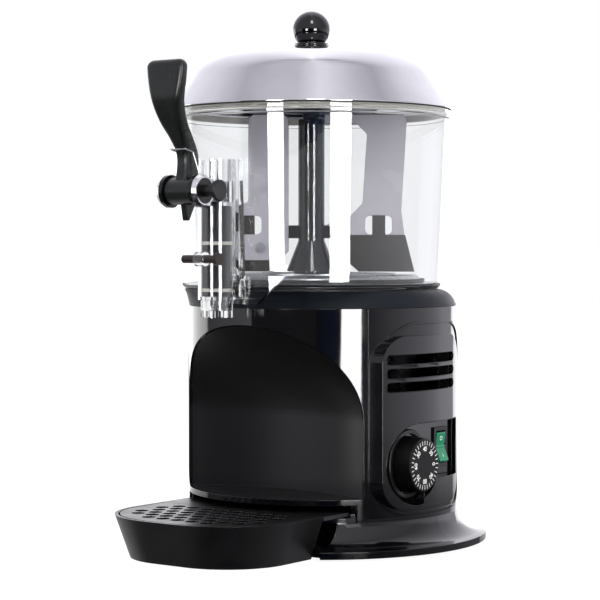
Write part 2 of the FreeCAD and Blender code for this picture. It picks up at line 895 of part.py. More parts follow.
def make_right_cover():
    """The cover with the pod, which holds the dial and the switch in its recess."""
    half_angle = 90 - S.seam_angle - S.seam_opening
    wall = panel_shell("right_cover", 0, half_angle)
    between_seams = pie("right_sector", S.body_radius + S.overrun, S.base_top, S.body_top, 0,
                        half_angle)
    pod = common("right_pod_trimmed", pod_block("right_pod", 0, S.pod_inner_x), between_seams)
    pod_hollow = pod_block("right_pod_hollow", S.panel_wall, S.pod_inner_x - S.overrun)
    inside = rod("right_core", S.body_radius - S.panel_wall, 0, S.body_top + S.overrun,
                 y=S.body_setback)
    shell = cut("right_shell", fuse("right_solid", wall, arched_bead("right_bead"), pod), inside,
                pod_hollow)
    well = common("right_well",
                  recess("right_well_wall", S.recess_wall, S.recess_plane - S.recess_floor),
                  pod_block("right_well_limit", 0, S.pod_inner_x))
    stem_hole = rod("right_stem_hole", S.dial_stem_radius + S.part_gap, S.pod_inner_x,
                    S.dial_face_x, 0, S.dial_y, S.dial_z, ALONG_X)
    half_width = (S.rocker_width + S.switch_frame) / 2
    half_length = (S.rocker_length + S.switch_frame) / 2
    switch_hole = box("right_switch_hole", (S.pod_inner_x, S.dial_face_x),
                      (S.switch_y - half_width, S.switch_y + half_width),
                      (S.switch_z - half_length, S.switch_z + half_length))
    node("side_cover_right", cut("right_cover_cut", fuse("right_with_well", shell, well),
                                 recess("right_recess", 0, S.recess_plane), stem_hole,
                                 switch_hole, *cover_slots("right_slot")))


def make_left_cover():
    """The plain cover on the other side, with the same bead and air slots."""
    half_angle = 90 - S.seam_angle - S.seam_opening
    wall = mirrored("left_wall", panel_shell("left_cover", 0, half_angle))
    bead = mirrored("left_bead_mirrored", arched_bead("left_bead"))
    slots = mirrored("left_slots_mirrored", fuse("left_slots", *cover_slots("left_slot")))
    node("side_cover_left", cut("left_cover_cut", fuse("left_solid", wall, bead), slots))


def louvres(name, x, y, radius):
    """The slatted insert behind the air slots: shelves between two end plates on a round wall."""
    outer = radius - S.panel_wall - S.part_gap
    low = S.slot_bottom - S.slot_chamfer
    high = S.slot_bottom + S.slot_pitch * SIZES["slot_count"] - S.slot_chamfer
    room = cut(f"{name}_room", rod(f"{name}_room_outside", outer, low, high, x, y),
               rod(f"{name}_room_inside", outer - S.louvre_depth, 0, S.body_top, x, y))
    front = S.slot_front + S.louvre_thickness * 2
    back = S.slot_back - S.louvre_thickness
    reach = (S.pod_inner_x, S.body_radius + S.overrun)
    solids = [
        box(f"{name}_front_end", reach, (front, front + S.louvre_thickness), (low, high)),
        box(f"{name}_back_end", reach, (back - S.louvre_thickness, back), (low, high)),
    ]
    for index in range(SIZES["slot_count"] + 1):
        shelf = S.slot_bottom + S.slot_pitch * index - S.louvre_thickness * 1.5
        solids.append(box(f"{name}_shelf_{index}", reach, (front, back),
                          (shelf, shelf + S.louvre_thickness)))
    return common(name, room, fuse(f"{name}_slats", *solids))


def make_body_panels():
    """The panels that close the body, their louvres and the lead's gland."""
    make_front_panel()
    make_right_cover()
    make_left_cover()
    node("air_louvres_right", louvres("right_louvres", S.pod_axis_x, S.pod_axis_y, S.pod_radius))
    node("air_louvres_left", mirrored("left_louvres_mirrored",
                                      louvres("left_louvres", 0, S.body_setback, S.body_radius)))
    rear = panel_shell("rear", 90, S.seam_angle - S.seam_opening)
    back = S.body_setback + S.body_radius
    lead_hole = rod("rear_lead_hole", S.gland_neck_radius + S.body_gap, 0, back + S.overrun, 0, 0,
                    S.gland_z, ALONG_Y)
    node("rear_panel", cut("rear", rear, lead_hole))
    flange = rod("gland_flange", S.gland_radius, back + S.body_gap, back + S.gland_reach, 0, 0,
                 S.gland_z, ALONG_Y)
    neck = rod("gland_neck", S.gland_neck_radius, back - S.gland_reach, back + S.gland_reach,
               0, 0, S.gland_z, ALONG_Y)
    bore = rod("gland_bore", S.gland_bore, back - S.gland_reach * 2, back + S.gland_reach * 2, 0, 0,
               S.gland_z, ALONG_Y)
    node("lead_gland", cut("gland", fuse("gland_solid", flange, neck), bore))


# Controls: dial, bezel, thermostat, switch -------------------------------------------------------

def make_controls():
    """The dial with its bezel and thermostat, and the switch."""
    plane = S.recess_plane
    base_x = plane + S.bezel_height
    node("dial_bezel", spun_along_x("bezel", [
        (S.bezel_radius - S.bezel_lip, plane), (S.bezel_radius, plane),
        (S.bezel_radius, base_x, S.bezel_height / 2), (S.bezel_radius - S.bezel_lip, base_x),
    ], S.dial_y, S.dial_z))
    bore_end = S.dial_face_x - S.bezel_height * 2
    knob_low = plane + S.part_gap * 2
    node("thermostat_dial", spun_along_x("dial", [
        (S.dial_stem_radius + S.body_gap, knob_low), (S.dial_skirt_radius, knob_low),
        (S.dial_face_radius, S.dial_face_x, S.dial_edge), (0, S.dial_face_x), (0, bore_end),
        (S.dial_stem_radius + S.body_gap, bore_end),
    ], S.dial_y, S.dial_z))
    thermostat_x = plane - S.recess_floor
    node("dial_shaft", rod("dial_stem", S.dial_stem_radius, thermostat_x - S.thermostat_depth / 2,
                           bore_end - S.part_gap, 0, S.dial_y, S.dial_z, ALONG_X))
    half = S.thermostat_width / 2
    housing = box("thermostat_box", (thermostat_x - S.thermostat_depth, thermostat_x),
                  (S.dial_y - half, S.dial_y + half), (S.dial_z - half, S.dial_z + half))
    bush = rod("thermostat_bush", S.dial_stem_radius + S.running_fit,
               thermostat_x - S.thermostat_depth / 2 - S.part_gap, thermostat_x + S.overrun, 0,
               S.dial_y, S.dial_z, ALONG_X)
    node("thermostat_body", cut("thermostat", housing, bush))
    make_switch()


def make_switch():
    """The switch body in the recess, and the rocker that tilts in it."""
    plane = S.recess_plane
    half_width = S.rocker_width / 2
    half_length = S.rocker_length / 2
    frame = S.switch_frame
    gap = S.part_gap
    front = plane + S.switch_frame_rise
    flange = box("switch_flange", (plane, front),
                 (S.switch_y - half_width - frame, S.switch_y + half_width + frame),
                 (S.switch_z - half_length - frame, S.switch_z + half_length + frame))
    barrel = box("switch_barrel", (plane - S.switch_body_depth, plane),
                 (S.switch_y - half_width - frame / 2 + S.body_gap,
                  S.switch_y + half_width + frame / 2 - S.body_gap),
                 (S.switch_z - half_length - frame / 2 + S.body_gap,
                  S.switch_z + half_length + frame / 2 - S.body_gap))
    well = box("switch_well", (plane - S.rocker_depth - S.small_edge, front + S.overrun),
               (S.switch_y - half_width - gap, S.switch_y + half_width + gap),
               (S.switch_z - half_length - gap, S.switch_z + half_length + gap))
    pivot_end = half_width + frame / 2 - S.body_gap * 2
    pivot_hole = rod("switch_pivot_hole", S.rocker_pivot_radius + S.running_fit,
                     S.switch_y - pivot_end, S.switch_y + pivot_end, plane, 0, S.switch_z, ALONG_Y)
    node("switch_body", cut("switch", fuse("switch_solid", flange, barrel), well, pivot_hole))
    rise = S.rocker_rise
    dip = plane + S.switch_frame_rise / 2
    profile = slab("rocker_profile", "XZ", [
        (plane - S.rocker_depth, S.switch_z),
        (plane - S.rocker_depth / 2, S.switch_z - half_length + gap * 3),
        (dip + rise, S.switch_z - half_length + gap * 3, S.small_edge),
        (dip, S.switch_z),
        (dip + rise / 3, S.switch_z + half_length - gap * 3, S.small_edge),
        (plane - S.rocker_depth / 2, S.switch_z + half_length - gap * 3),
    ], S.switch_y - half_width, S.switch_y + half_width)
    pivot = rod("rocker_pivot", S.rocker_pivot_radius, S.switch_y - pivot_end + S.body_gap,
                S.switch_y + pivot_end - S.body_gap, plane, 0, S.switch_z, ALONG_Y)
    node("rocker", fuse("rocker_solid", profile, pivot))


# Collar, heater pan, gasket and drive column -----------------------------------------------------

def make_bowl_seat():
    """What the bowl stands on: collar, heater pan, gasket and drive column."""
    form = lofted_round("collar_form", [
        (S.body_top, S.body_radius, S.body_setback),
        (S.collar_middle_height, S.collar_middle_radius, S.collar_middle_setback),
        (S.collar_top, S.collar_top_radius, 0),
    ])
    spigot_radius = S.body_radius - S.panel_wall - S.body_gap
    spigot = ring("collar_spigot", spigot_radius, spigot_radius - S.collar_spigot_wall,
                  S.body_top - S.collar_spigot, S.body_top, S.body_setback)
    bore = rod("collar_bore", S.collar_bore, 0, S.collar_top + S.overrun)
    seat = rod("collar_seat", S.collar_seat_radius, S.collar_ledge, S.collar_top + S.overrun)
    node("top_collar", cut("collar", fuse("collar_solid", form, spigot), bore, seat))

    wall = S.pan_wall
    flange_top = S.collar_ledge + wall
    hole = S.shaft_radius + S.pan_hole_gap
    ring_outer = S.pan_ring_radius + S.pan_ring_width
    ring_top = S.pan_top + S.pan_ring_height
    node("heater_pan", spun("pan", [
        (hole, S.pan_top), (S.pan_ring_radius, S.pan_top), (S.pan_ring_radius, ring_top),
        (ring_outer, ring_top), (ring_outer, S.pan_top),
        (S.pan_radius, S.pan_top, S.pan_edge), (S.pan_radius, flange_top),
        (S.pan_flange_radius, flange_top), (S.pan_flange_radius, S.collar_ledge),
        (S.pan_radius - wall, S.collar_ledge),
        (S.pan_radius - wall, S.pan_top - wall, S.pan_edge - wall), (hole, S.pan_top - wall),
    ]))
    gasket_inner = S.pan_radius + S.running_fit
    node("bowl_gasket", ring("gasket", gasket_inner + S.gasket_width, gasket_inner, flange_top,
                             S.gasket_top))
    element = add("Part::Torus", "element")
    bind(element, Radius1=S.element_radius, Radius2=S.element_tube)
    element_z = S.pan_top - wall - S.element_tube - S.running_fit
    element_node = copies("element_ring", [place(element, 0, 0, element_z)])
    node("heater_element", element_node)
    cutout_top = S.pan_top - wall
    node("overheat_cutout", copies("cutout", [
        rod("cutout_can", S.cutout_radius, cutout_top - S.cutout_height, cutout_top,
            y=S.cutout_y)]))
    bore_radius = S.shaft_radius + S.part_gap
    foot_top = S.pan_top + S.column_foot_height
    node("drive_column", spun("column", [
        (bore_radius, S.pan_top), (S.column_foot_radius, S.pan_top),
        (S.column_foot_radius, foot_top, S.column_foot_height / 2),
        (S.column_radius, foot_top), (S.column_radius, S.column_top),
        (bore_radius, S.column_top),
    ]))


# Inner works: chassis, gearbox, motor, terminals -------------------------------------------------

def make_inner_works():
    """The chassis in the body with the gearbox, motor and terminal block."""
    sheet = S.sheet_thickness
    half = S.chassis_half_width
    depth = (S.chassis_front, S.chassis_back)
    top = box("chassis_top", (-half, half), depth, (S.chassis_top - sheet, S.chassis_top))
    pieces = [top]
    for side, sign in (("right", 1), ("left", -1)):
        limits = sorted((half * sign, (half - sheet) * sign), key=amount)
        pieces.append(box(f"chassis_leg_{side}", limits, depth, (S.base_top, S.chassis_top)))
        flange = sorted((half * sign, (half + S.chassis_foot) * sign), key=amount)
        pieces.append(box(f"chassis_flange_{side}", flange, depth,
                          (S.base_top, S.base_top + sheet)))
    node("chassis", fuse("chassis_solid", *pieces))
    block = box("gearbox_block", (-S.gearbox_half_width, S.gearbox_half_width),
                (S.gearbox_front, S.gearbox_back),
                (S.chassis_top, S.chassis_top + S.gearbox_height))
    bush = rod("gearbox_bush", S.shaft_radius + S.running_fit, S.shaft_bottom - S.part_gap,
               S.chassis_top + S.gearbox_height + S.overrun)
    node("gearbox", cut("gearbox_bored", block, bush))
    node("stirrer_motor", copies("motor", [
        rod("motor_can", S.motor_radius, S.motor_bottom, S.chassis_top - sheet, y=S.motor_y)]))
    half = S.terminal_width / 2
    front = S.chassis_back + sheet * 2
    node("terminal_block", copies("terminals", [
        box("terminal_body", (-half, half), (front, front + S.terminal_depth),
            (S.base_top, S.base_top + S.terminal_height))]))


# Bowl, lid and knob ------------------------------------------------------------------------------

def make_bowl():
    """The clear bowl: a tapered jar, open in the middle, with a step under its rim."""
    wall = S.bowl_wall
    floor_top = S.bowl_bottom + S.bowl_floor
    jar = spun("bowl_jar", [
        (S.bowl_opening, S.bowl_bottom),
        (S.bowl_bottom_radius, S.bowl_bottom, S.bowl_bottom_curve),
        (S.bowl_rim_radius, S.bowl_top),
        (S.bowl_rim_radius - wall, S.bowl_top),
        (S.bowl_bottom_radius - wall, floor_top, S.bowl_bottom_curve / 2),
        (S.bowl_opening, floor_top),
    ])
    step = ring("bowl_step", S.bowl_rim_radius + S.bowl_rim_ring, S.bowl_rim_radius - wall / 2,
                S.bowl_step, S.bowl_step + S.bowl_rim_ring_height)
    port_radius = S.port_bore + S.port_wall + S.port_seal_wall + S.body_gap
    port = rod("bowl_port", port_radius, S.tap_setback, -S.bowl_opening, 0, 0, S.port_height,
               ALONG_Y)
    node("bowl", cut("bowl_solid", fuse("bowl_with_step", jar, step), port))


def make_lid():
    """The domed lid, its seal, and the knob with its screw."""
    wall = S.lid_wall
    rim = S.bowl_top + S.part_gap
    bore = S.knob_screw_radius + S.body_gap
    node("lid", spun("lid_shell", [
        (bore, S.lid_top - wall), (bore, S.lid_top), (S.lid_land_radius, S.lid_top, S.lid_land_radius),
        (S.lid_crown_radius, S.lid_crown_height, S.lid_rim_radius),
        (S.lid_shoulder_radius, S.lid_shoulder_height, S.lid_shoulder_curve),
        (S.lid_rim_radius, rim + S.lid_edge_height), (S.lid_rim_radius, rim),
        (S.lid_rim_radius - S.lid_lip, rim), (S.lid_rim_radius - S.lid_lip, rim + wall),
        (S.lid_rim_radius - wall * 1.5, rim + wall),
        (S.lid_rim_radius - wall * 1.5, rim + S.lid_edge_height - wall / 2),
        (S.lid_shoulder_radius - wall, S.lid_shoulder_height - wall,
         S.lid_shoulder_curve - wall),
        (S.lid_crown_radius, S.lid_crown_height - wall, S.lid_rim_radius),
        (S.lid_land_radius, S.lid_top - wall, S.lid_land_radius),
    ]))
    seal_outer = S.bowl_rim_radius - S.bowl_wall - S.part_gap
    node("lid_seal", ring("seal", seal_outer, seal_outer - S.seal_width, rim - S.seal_height, rim))
    foot_top = S.lid_top + S.knob_foot_height
    ball = add("Part::Sphere", "knob_ball")
    bind(ball, Radius=S.knob_radius)
    place(ball, 0, 0, S.knob_centre)
    foot = rod("knob_foot", S.knob_foot_radius, S.lid_top, foot_top)
    neck = rod("knob_neck", S.knob_neck_radius, S.lid_top, S.knob_centre)
    screw_top = S.lid_top + S.knob_screw_length / 2
    bore_tool = rod("knob_bore", bore, S.lid_top - S.overrun, screw_top + S.body_gap)
    below_foot = rod("knob_trim", S.knob_radius, S.lid_top - S.knob_radius, S.lid_top)
    node("lid_knob", cut("knob", fuse("knob_solid", ball, foot, neck), bore_tool, below_foot))
    head = rod("knob_screw_head", S.knob_screw_head,
               S.lid_top - wall - S.knob_screw_head_height, S.lid_top - wall)
    shank = rod("knob_screw_shank", S.knob_screw_radius,
                S.lid_top - wall - S.knob_screw_head_height, screw_top)
    node("knob_screw", fuse("knob_screw_solid", head, shank))


# Stirrer: shaft, sleeve, two blades and their scrapers -------------------------------------------

def blade(name, points, window_x, hole_x):
    """A flat blade in the stirrer's own upright plane, with a window for the scraper's tab."""
    plate = slab(name, "XZ", points, -S.blade_thickness / 2, S.blade_thickness / 2)
    half = S.window_width / 2
    window = slab(f"{name}_window", "XZ",
                  rectangle(window_x - half, window_x + half, S.window_bottom, S.window_top,
                            S.window_corner), -S.blade_thickness, S.blade_thickness)
    hole = rod(f"{name}_screw_hole", S.blade_screw_radius + S.running_fit, -S.blade_thickness,
               S.blade_thickness, hole_x, 0, S.blade_screw_height, ALONG_Y)
    return cut(f"{name}_cut", plate, window, hole)


def scraper(name, points, tab_x, low, high):
    """A flexible scraper on one face of a blade, with a tab that shows in the blade's window."""
    half = S.tab_width / 2
    plate = slab(name, "XZ", points, low, high)
    tab = box(f"{name}_tab", (tab_x - half, tab_x + half), (low, high),
              (S.blade_screw_height, S.window_top))
    return fuse(f"{name}_solid", plate, tab)


def make_sleeve(turn):
    """The sleeve that turns round the drive column, with an arm for each blade, and its nut."""
    bore = S.sleeve_bore
    under_cap = S.sleeve_top - S.sleeve_cap
    shaft_hole = S.shaft_radius + S.body_gap
    sleeve = spun("sleeve", [
        (bore, S.sleeve_bottom + S.column_foot_height + S.sleeve_cap),
        (S.column_foot_radius + S.sleeve_gap, S.sleeve_bottom),
        (S.sleeve_cone_radius, S.sleeve_bottom), (S.sleeve_radius, S.sleeve_cone_top),
        (S.sleeve_radius, S.sleeve_top, S.small_edge), (shaft_hole, S.sleeve_top),
        (shaft_hole, under_cap), (bore, under_cap),
    ])
    half = S.arm_depth / 2
    root = (S.sleeve_radius + bore) / 2
    outer_arm = box("outer_arm", (root, S.arm_reach), (-half, half), (S.arm_bottom, S.arm_top))
    inner_arm = box("inner_arm", (-S.inner_blade_inner, -root), (-half, half),
                    (S.arm_bottom, S.arm_top))
    slit_half = S.blade_thickness / 2 + S.running_fit
    slit = box("blade_slit", (-S.arm_reach * 2, S.arm_reach * 2), (-slit_half, slit_half),
               (S.arm_bottom, S.blade_top + S.overrun))
    core = rod("slit_limit", S.sleeve_radius + S.running_fit, 0, S.blade_top + S.overrun * 2)
    solid = fuse("sleeve_solid", sleeve, outer_arm, inner_arm)
    node("stirrer_sleeve", cut("sleeve_slit", solid, cut("slit_tool", slit, core)), turn)
    nut_top = S.sleeve_top + S.cap_nut_height
    node("stirrer_nut", spun("nut", [
        (0, S.sleeve_top), (S.cap_nut_radius, S.sleeve_top),
        (S.cap_nut_radius, nut_top, S.small_edge), (0, nut_top),
    ]), turn)
    node("drive_shaft", copies("shaft", [
        rod("shaft_bar", S.shaft_radius, S.shaft_bottom, S.sleeve_top)]), turn)


def make_blades(turn):
    """The large outer blade and the narrow inner one, both in one upright plane."""
    root = S.sleeve_radius + S.body_gap
    notch = S.blade_notch_height
    bottom = S.blade_bottom
    top = S.blade_top
    corner = S.blade_corner
    taper = S.blade_foot_taper
    under_arm = top - S.blade_top_arm
    node("outer_blade", blade("outer_blade_plate", [
        (root, S.arm_bottom), (S.outer_blade_root, S.arm_bottom, corner),
        (S.outer_blade_root + taper, bottom), (S.outer_blade_hip - taper, bottom),
        (S.outer_blade_hip + taper, S.scraper_top),
        (S.outer_blade_hip, S.blade_hip_height), (S.outer_blade_outer, top, S.blade_top_corner),
        (root, top), (root, under_arm), (S.outer_blade_inner - S.blade_gusset, under_arm, corner),
        (S.outer_blade_inner, under_arm - S.blade_gusset, corner),
        (S.outer_blade_waist, notch, corner),
        (S.outer_blade_root, notch - S.blade_notch_drop, corner), (root, S.arm_top),
    ], S.outer_tab, S.outer_tab), turn)
    chamfer = S.blade_foot_chamfer
    inner = S.inner_blade_inner
    node("inner_blade", blade("inner_blade_plate", [
        (-inner, top, S.blade_top_corner), (-S.inner_blade_outer, top, S.blade_top_corner),
        (-S.inner_blade_outer, notch, corner), (-S.inner_blade_tail, notch, corner),
        (-S.inner_blade_tail, bottom), (-inner - chamfer, bottom), (-inner, bottom + chamfer),
        (-inner, S.arm_bottom), (-root, S.arm_bottom), (-root, S.arm_top), (-inner, S.arm_top),
    ], -S.inner_tab, -S.inner_tab + S.tab_width), turn)


def make_scrapers(turn):
    """The flexible scrapers, each held on one face of its blade by a screw from the other."""
    face = S.blade_thickness / 2
    back = face + S.scraper_thickness
    tab_half = S.tab_width / 2
    outer = scraper("outer_scraper_plate", [
        (S.outer_blade_root, S.scraper_top),
        (S.outer_blade_root, S.scraper_bottom + S.scraper_chamfer),
        (S.scraper_heel, S.scraper_bottom), (S.scraper_tip, S.scraper_bottom),
        (S.outer_blade_hip + S.scraper_taper, S.scraper_top),
    ], S.outer_tab, -back, -face)
    inner = scraper("inner_scraper_plate", [
        (-S.inner_scraper_root, S.scraper_step), (-S.inner_scraper_heel, S.scraper_bottom),
        (-S.inner_blade_tail - S.scraper_taper, S.scraper_bottom),
        (-S.inner_blade_tail, S.scraper_top), (-S.inner_tab + tab_half, S.scraper_top),
        (-S.inner_tab + tab_half, S.scraper_step),
    ], -S.inner_tab, face, back)
    screws = []
    for name, form, x, side in (("outer", outer, S.outer_tab, -1),
                                ("inner", inner, -S.inner_tab + S.tab_width, 1)):
        end = (face + S.blade_screw_bite) * side
        head_face = -face * side
        shank = sorted((head_face, end), key=amount)
        hole = sorted((head_face, end + S.part_gap * side), key=amount)
        head = sorted((head_face, head_face - S.blade_screw_head_height * side), key=amount)
        bore = rod(f"{name}_screw_bore", S.blade_screw_radius + S.running_fit, *hole, x, 0,
                   S.blade_screw_height, ALONG_Y)
        node(f"{name}_scraper", cut(f"{name}_scraper_bored", form, bore), turn)
        screws.append(fuse(
            f"{name}_blade_screw",
            rod(f"{name}_screw_head", S.blade_screw_head, *head, x, 0, S.blade_screw_height,
                ALONG_Y),
            rod(f"{name}_screw_shank", S.blade_screw_radius, *shank, x, 0, S.blade_screw_height,
                ALONG_Y)))
    node("blade_screws", copies("blade_screw_pair", screws), turn)


def make_stirrer():
    """The stirrer, turned to where its blades stand at rest."""
    turn = FreeCAD.Rotation(UP, SIZES["stirrer_angle"])
    make_sleeve(turn)
    make_blades(turn)
    make_scrapers(turn)


# Tap: clear body, outlet, pivot parts, piston and lever ------------------------------------------

def make_tap_body():
    """The clear tap tube with its backing plate, lugs, saddle and the spigot into the bowl."""
    y = S.tap_setback
    front = y - S.tap_radius
    plate_half = S.tap_plate_half_width
    bowl_face = S.tap_plate_front + S.tap_plate_thickness
    half_height = S.lug_height / 2
    solids = [
        rod("tap_tube", S.tap_radius, S.tap_bottom, S.tap_top, y=y),
        box("tap_plate", (-plate_half, plate_half), (S.tap_plate_front, bowl_face),
            (S.tap_plate_bottom, S.tap_top)),
    ]
    for side, sign in (("right", 1), ("left", -1)):
        limits = sorted((S.lug_inner_x * sign, (S.lug_inner_x + S.lug_thickness) * sign),
                        key=amount)
        solids.append(box(f"lug_{side}", limits, (S.pivot_y, y),
                          (S.pivot_z - half_height, S.pivot_z + half_height)))
        solids.append(rod(f"lug_eye_{side}", S.pivot_ring_radius, *limits, 0, S.pivot_y,
                          S.pivot_z, ALONG_X))
    saddle_half = S.saddle_half_width
    pin_y = cross_pin_y()
    solids.append(rod("saddle_eye", S.cross_pin_radius + S.saddle_wall, -saddle_half, saddle_half,
                      0, pin_y, S.cross_pin_z, ALONG_X))
    solids.append(box("saddle_web", (-saddle_half, saddle_half),
                      (pin_y, y - (S.tap_bore + S.tap_radius) / 2),
                      (S.cross_pin_z - S.cross_pin_radius, S.cross_pin_z + S.cross_pin_radius)))
    bowl_cone = add("Part::Cone", "bowl_clearance")
    bind(bowl_cone, Radius1=S.bowl_bottom_radius + S.body_gap,
         Radius2=S.bowl_rim_radius + S.body_gap, Height=S.bowl_top - S.bowl_bottom)
    place(bowl_cone, 0, 0, S.bowl_bottom)
    below = rod("bowl_clearance_below", S.bowl_bottom_radius + S.body_gap, S.outlet_bottom,
                S.bowl_bottom)
    outside = cut("tap_outside", fuse("tap_solid", *solids), bowl_cone, below)
    spigot_end = -S.bowl_bottom_radius + S.bowl_wall - S.part_gap * 2
    spigot = rod("port_spigot", S.port_bore + S.port_wall, y, spigot_end, 0, 0, S.port_height,
                 ALONG_Y)
    lugs_gap = box("lugs_gap", (-S.lug_inner_x, S.lug_inner_x),
                   (S.pivot_y - S.pivot_ring_radius, front - S.body_gap),
                   (S.front_window_bottom - half_height, S.tap_top))
    tools = [
        rod("tap_bore", S.tap_bore, S.tap_bottom + S.tap_floor, S.tap_top + S.overrun, y=y),
        rod("tap_drain", S.outlet_bore, S.outlet_bottom, S.tap_top, y=y),
        rod("tap_port", S.port_bore, y, spigot_end + S.overrun, 0, 0, S.port_height, ALONG_Y),
        box("tap_window", (-S.window_half_width, S.window_half_width), (front - S.overrun, y),
            (S.front_window_bottom, S.tap_top + S.overrun)),
        rod("pivot_hole", S.pivot_pin_radius + S.running_fit, -S.tap_radius * 2, S.tap_radius * 2,
            0, S.pivot_y, S.pivot_z, ALONG_X),
        rod("cross_hole", S.cross_pin_radius + S.running_fit, -S.tap_radius, S.tap_radius, 0,
            pin_y, S.cross_pin_z, ALONG_X),
        lugs_gap,
    ]
    node("tap_body", cut("tap", fuse("tap_with_spigot", outside, spigot), *tools))
    return spigot_end


def cross_pin_y():
    """How far behind the bowl's axis the cross pin lies: in a saddle on the tube's front."""
    return S.tap_setback - S.tap_radius - S.cross_pin_radius - S.saddle_wall / 2


def make_outlet():
    """The crown under the tap, and the seal where the tap's spigot enters the bowl."""
    y = S.tap_setback
    outlet = ring("outlet_ring", S.outlet_radius, S.outlet_bore, S.outlet_bottom, S.tap_bottom, y)
    slots = []
    count = SIZES["outlet_slot_count"]
    for index in range(count):
        notch = box(f"outlet_slot_{index}", (0, S.outlet_radius + S.overrun),
                    (-S.outlet_slot_width / 2, S.outlet_slot_width / 2),
                    (S.outlet_bottom - S.overrun, S.outlet_bottom + S.outlet_slot_depth))
        turned = copies(f"outlet_slot_turned_{index}", [notch])
        slots.append(place(turned, 0, y, 0, FreeCAD.Rotation(UP, 360 * index / count)))
    node("tap_outlet", cut("outlet", outlet, *slots))


def make_port_seal(spigot_end):
    """The ring that seals the tap's spigot in the bowl's wall."""
    spigot_radius = S.port_bore + S.port_wall
    outside = rod("port_seal_outside", spigot_radius + S.port_seal_wall, -S.bowl_bottom_radius,
                  spigot_end, 0, 0, S.port_height, ALONG_Y)
    bore = rod("port_seal_bore", spigot_radius + S.running_fit, S.tap_setback, 0, 0, 0,
               S.port_height, ALONG_Y)
    node("port_seal", cut("port_seal_ring", outside, bore))


def make_pivot():
    """The lever's pivot: a flared ring and a cap on each lug, and the pin with its knob."""
    y = S.pivot_y
    z = S.pivot_z
    low = S.lug_inner_x + S.lug_thickness
    right_ring = spun_along_x("pivot_ring_right", [
        (S.pivot_ring_bore, low), (S.pivot_ring_radius, low),
        (S.pivot_ring_nose, low + S.pivot_ring_length, S.small_edge / 2),
        (S.pivot_ring_bore, low + S.pivot_ring_length),
    ], y, z)
    pin_hole = S.pivot_pin_radius + S.running_fit
    right_cap = spun_along_x("pivot_cap_right", rectangle(
        pin_hole, S.pivot_ring_bore - S.running_fit, low, low + S.pivot_cap_length), y, z)
    node("pivot_rings", copies("pivot_ring_pair", [
        right_ring, mirrored("pivot_ring_left", right_ring)]))
    node("pivot_caps", copies("pivot_cap_pair", [
        right_cap, mirrored("pivot_cap_left", right_cap)]))
    stub = low + S.pivot_cap_length + S.running_fit
    head = S.pivot_head_x
    head_end = head + S.pivot_head_length
    edge = S.pivot_head_edge
    node("pivot_pin", spun_along_x("pivot_pin_form", [
        (0, -stub), (S.pivot_pin_radius, -stub), (S.pivot_pin_radius, stub),
        (S.pivot_stub_radius, stub), (S.pivot_stub_radius, head),
        (S.pivot_head_radius, head, edge), (S.pivot_head_radius, head_end, edge), (0, head_end),
    ], y, z))
    end = S.cross_pin_half_length
    collar_low = end - S.cross_pin_collar_width
    node("cross_pin", spun_along_x("cross_pin_form", [
        (0, -end), (S.cross_pin_radius, -end, S.small_edge), (S.cross_pin_radius, collar_low),
        (S.cross_pin_collar_radius, collar_low), (S.cross_pin_collar_radius, end), (0, end),
    ], cross_pin_y(), S.cross_pin_z))


def make_spill_guard():
    """A clear guard under the bowl's front that keeps drips off the collar."""
    far = S.spill_radius * 2
    above = S.spill_top * 2
    low = rod("guard_low", S.spill_radius, S.spill_bottom, S.tap_plate_bottom)
    high = rod("guard_high", S.spill_radius, S.spill_bottom, S.spill_top)
    hollow = rod("guard_hollow", S.spill_radius - S.spill_wall, 0, above)
    half = S.tap_plate_half_width + S.body_gap
    left_trim = box("guard_left_trim", (-far, -half), (-far, 0), (0, above))
    slanted_end = slab("guard_slanted_end", "XZ", [
        (S.spill_end_low, S.spill_bottom), (far, S.spill_bottom), (far, S.spill_top),
        (S.spill_end_high, S.spill_top)], -far, 0)
    back_trim = box("guard_back_trim", (-far, far), (-S.bowl_opening, far), (0, above))
    plate_room = box("guard_plate_room", (-half, half), (-far, 0),
                     (S.tap_plate_bottom - S.body_gap, above))
    tube_room = rod("guard_tube_room", S.tap_radius + S.body_gap, 0, above, y=S.tap_setback)
    node("spill_guard", cut("guard", fuse("guard_solid", low, high), hollow, left_trim,
                            slanted_end, back_trim, plate_room, tube_room))


def make_tap():
    """Everything of the tap that stays with the bowl."""
    spigot_end = make_tap_body()
    make_port_seal(spigot_end)
    make_outlet()
    make_pivot()
    make_spill_guard()


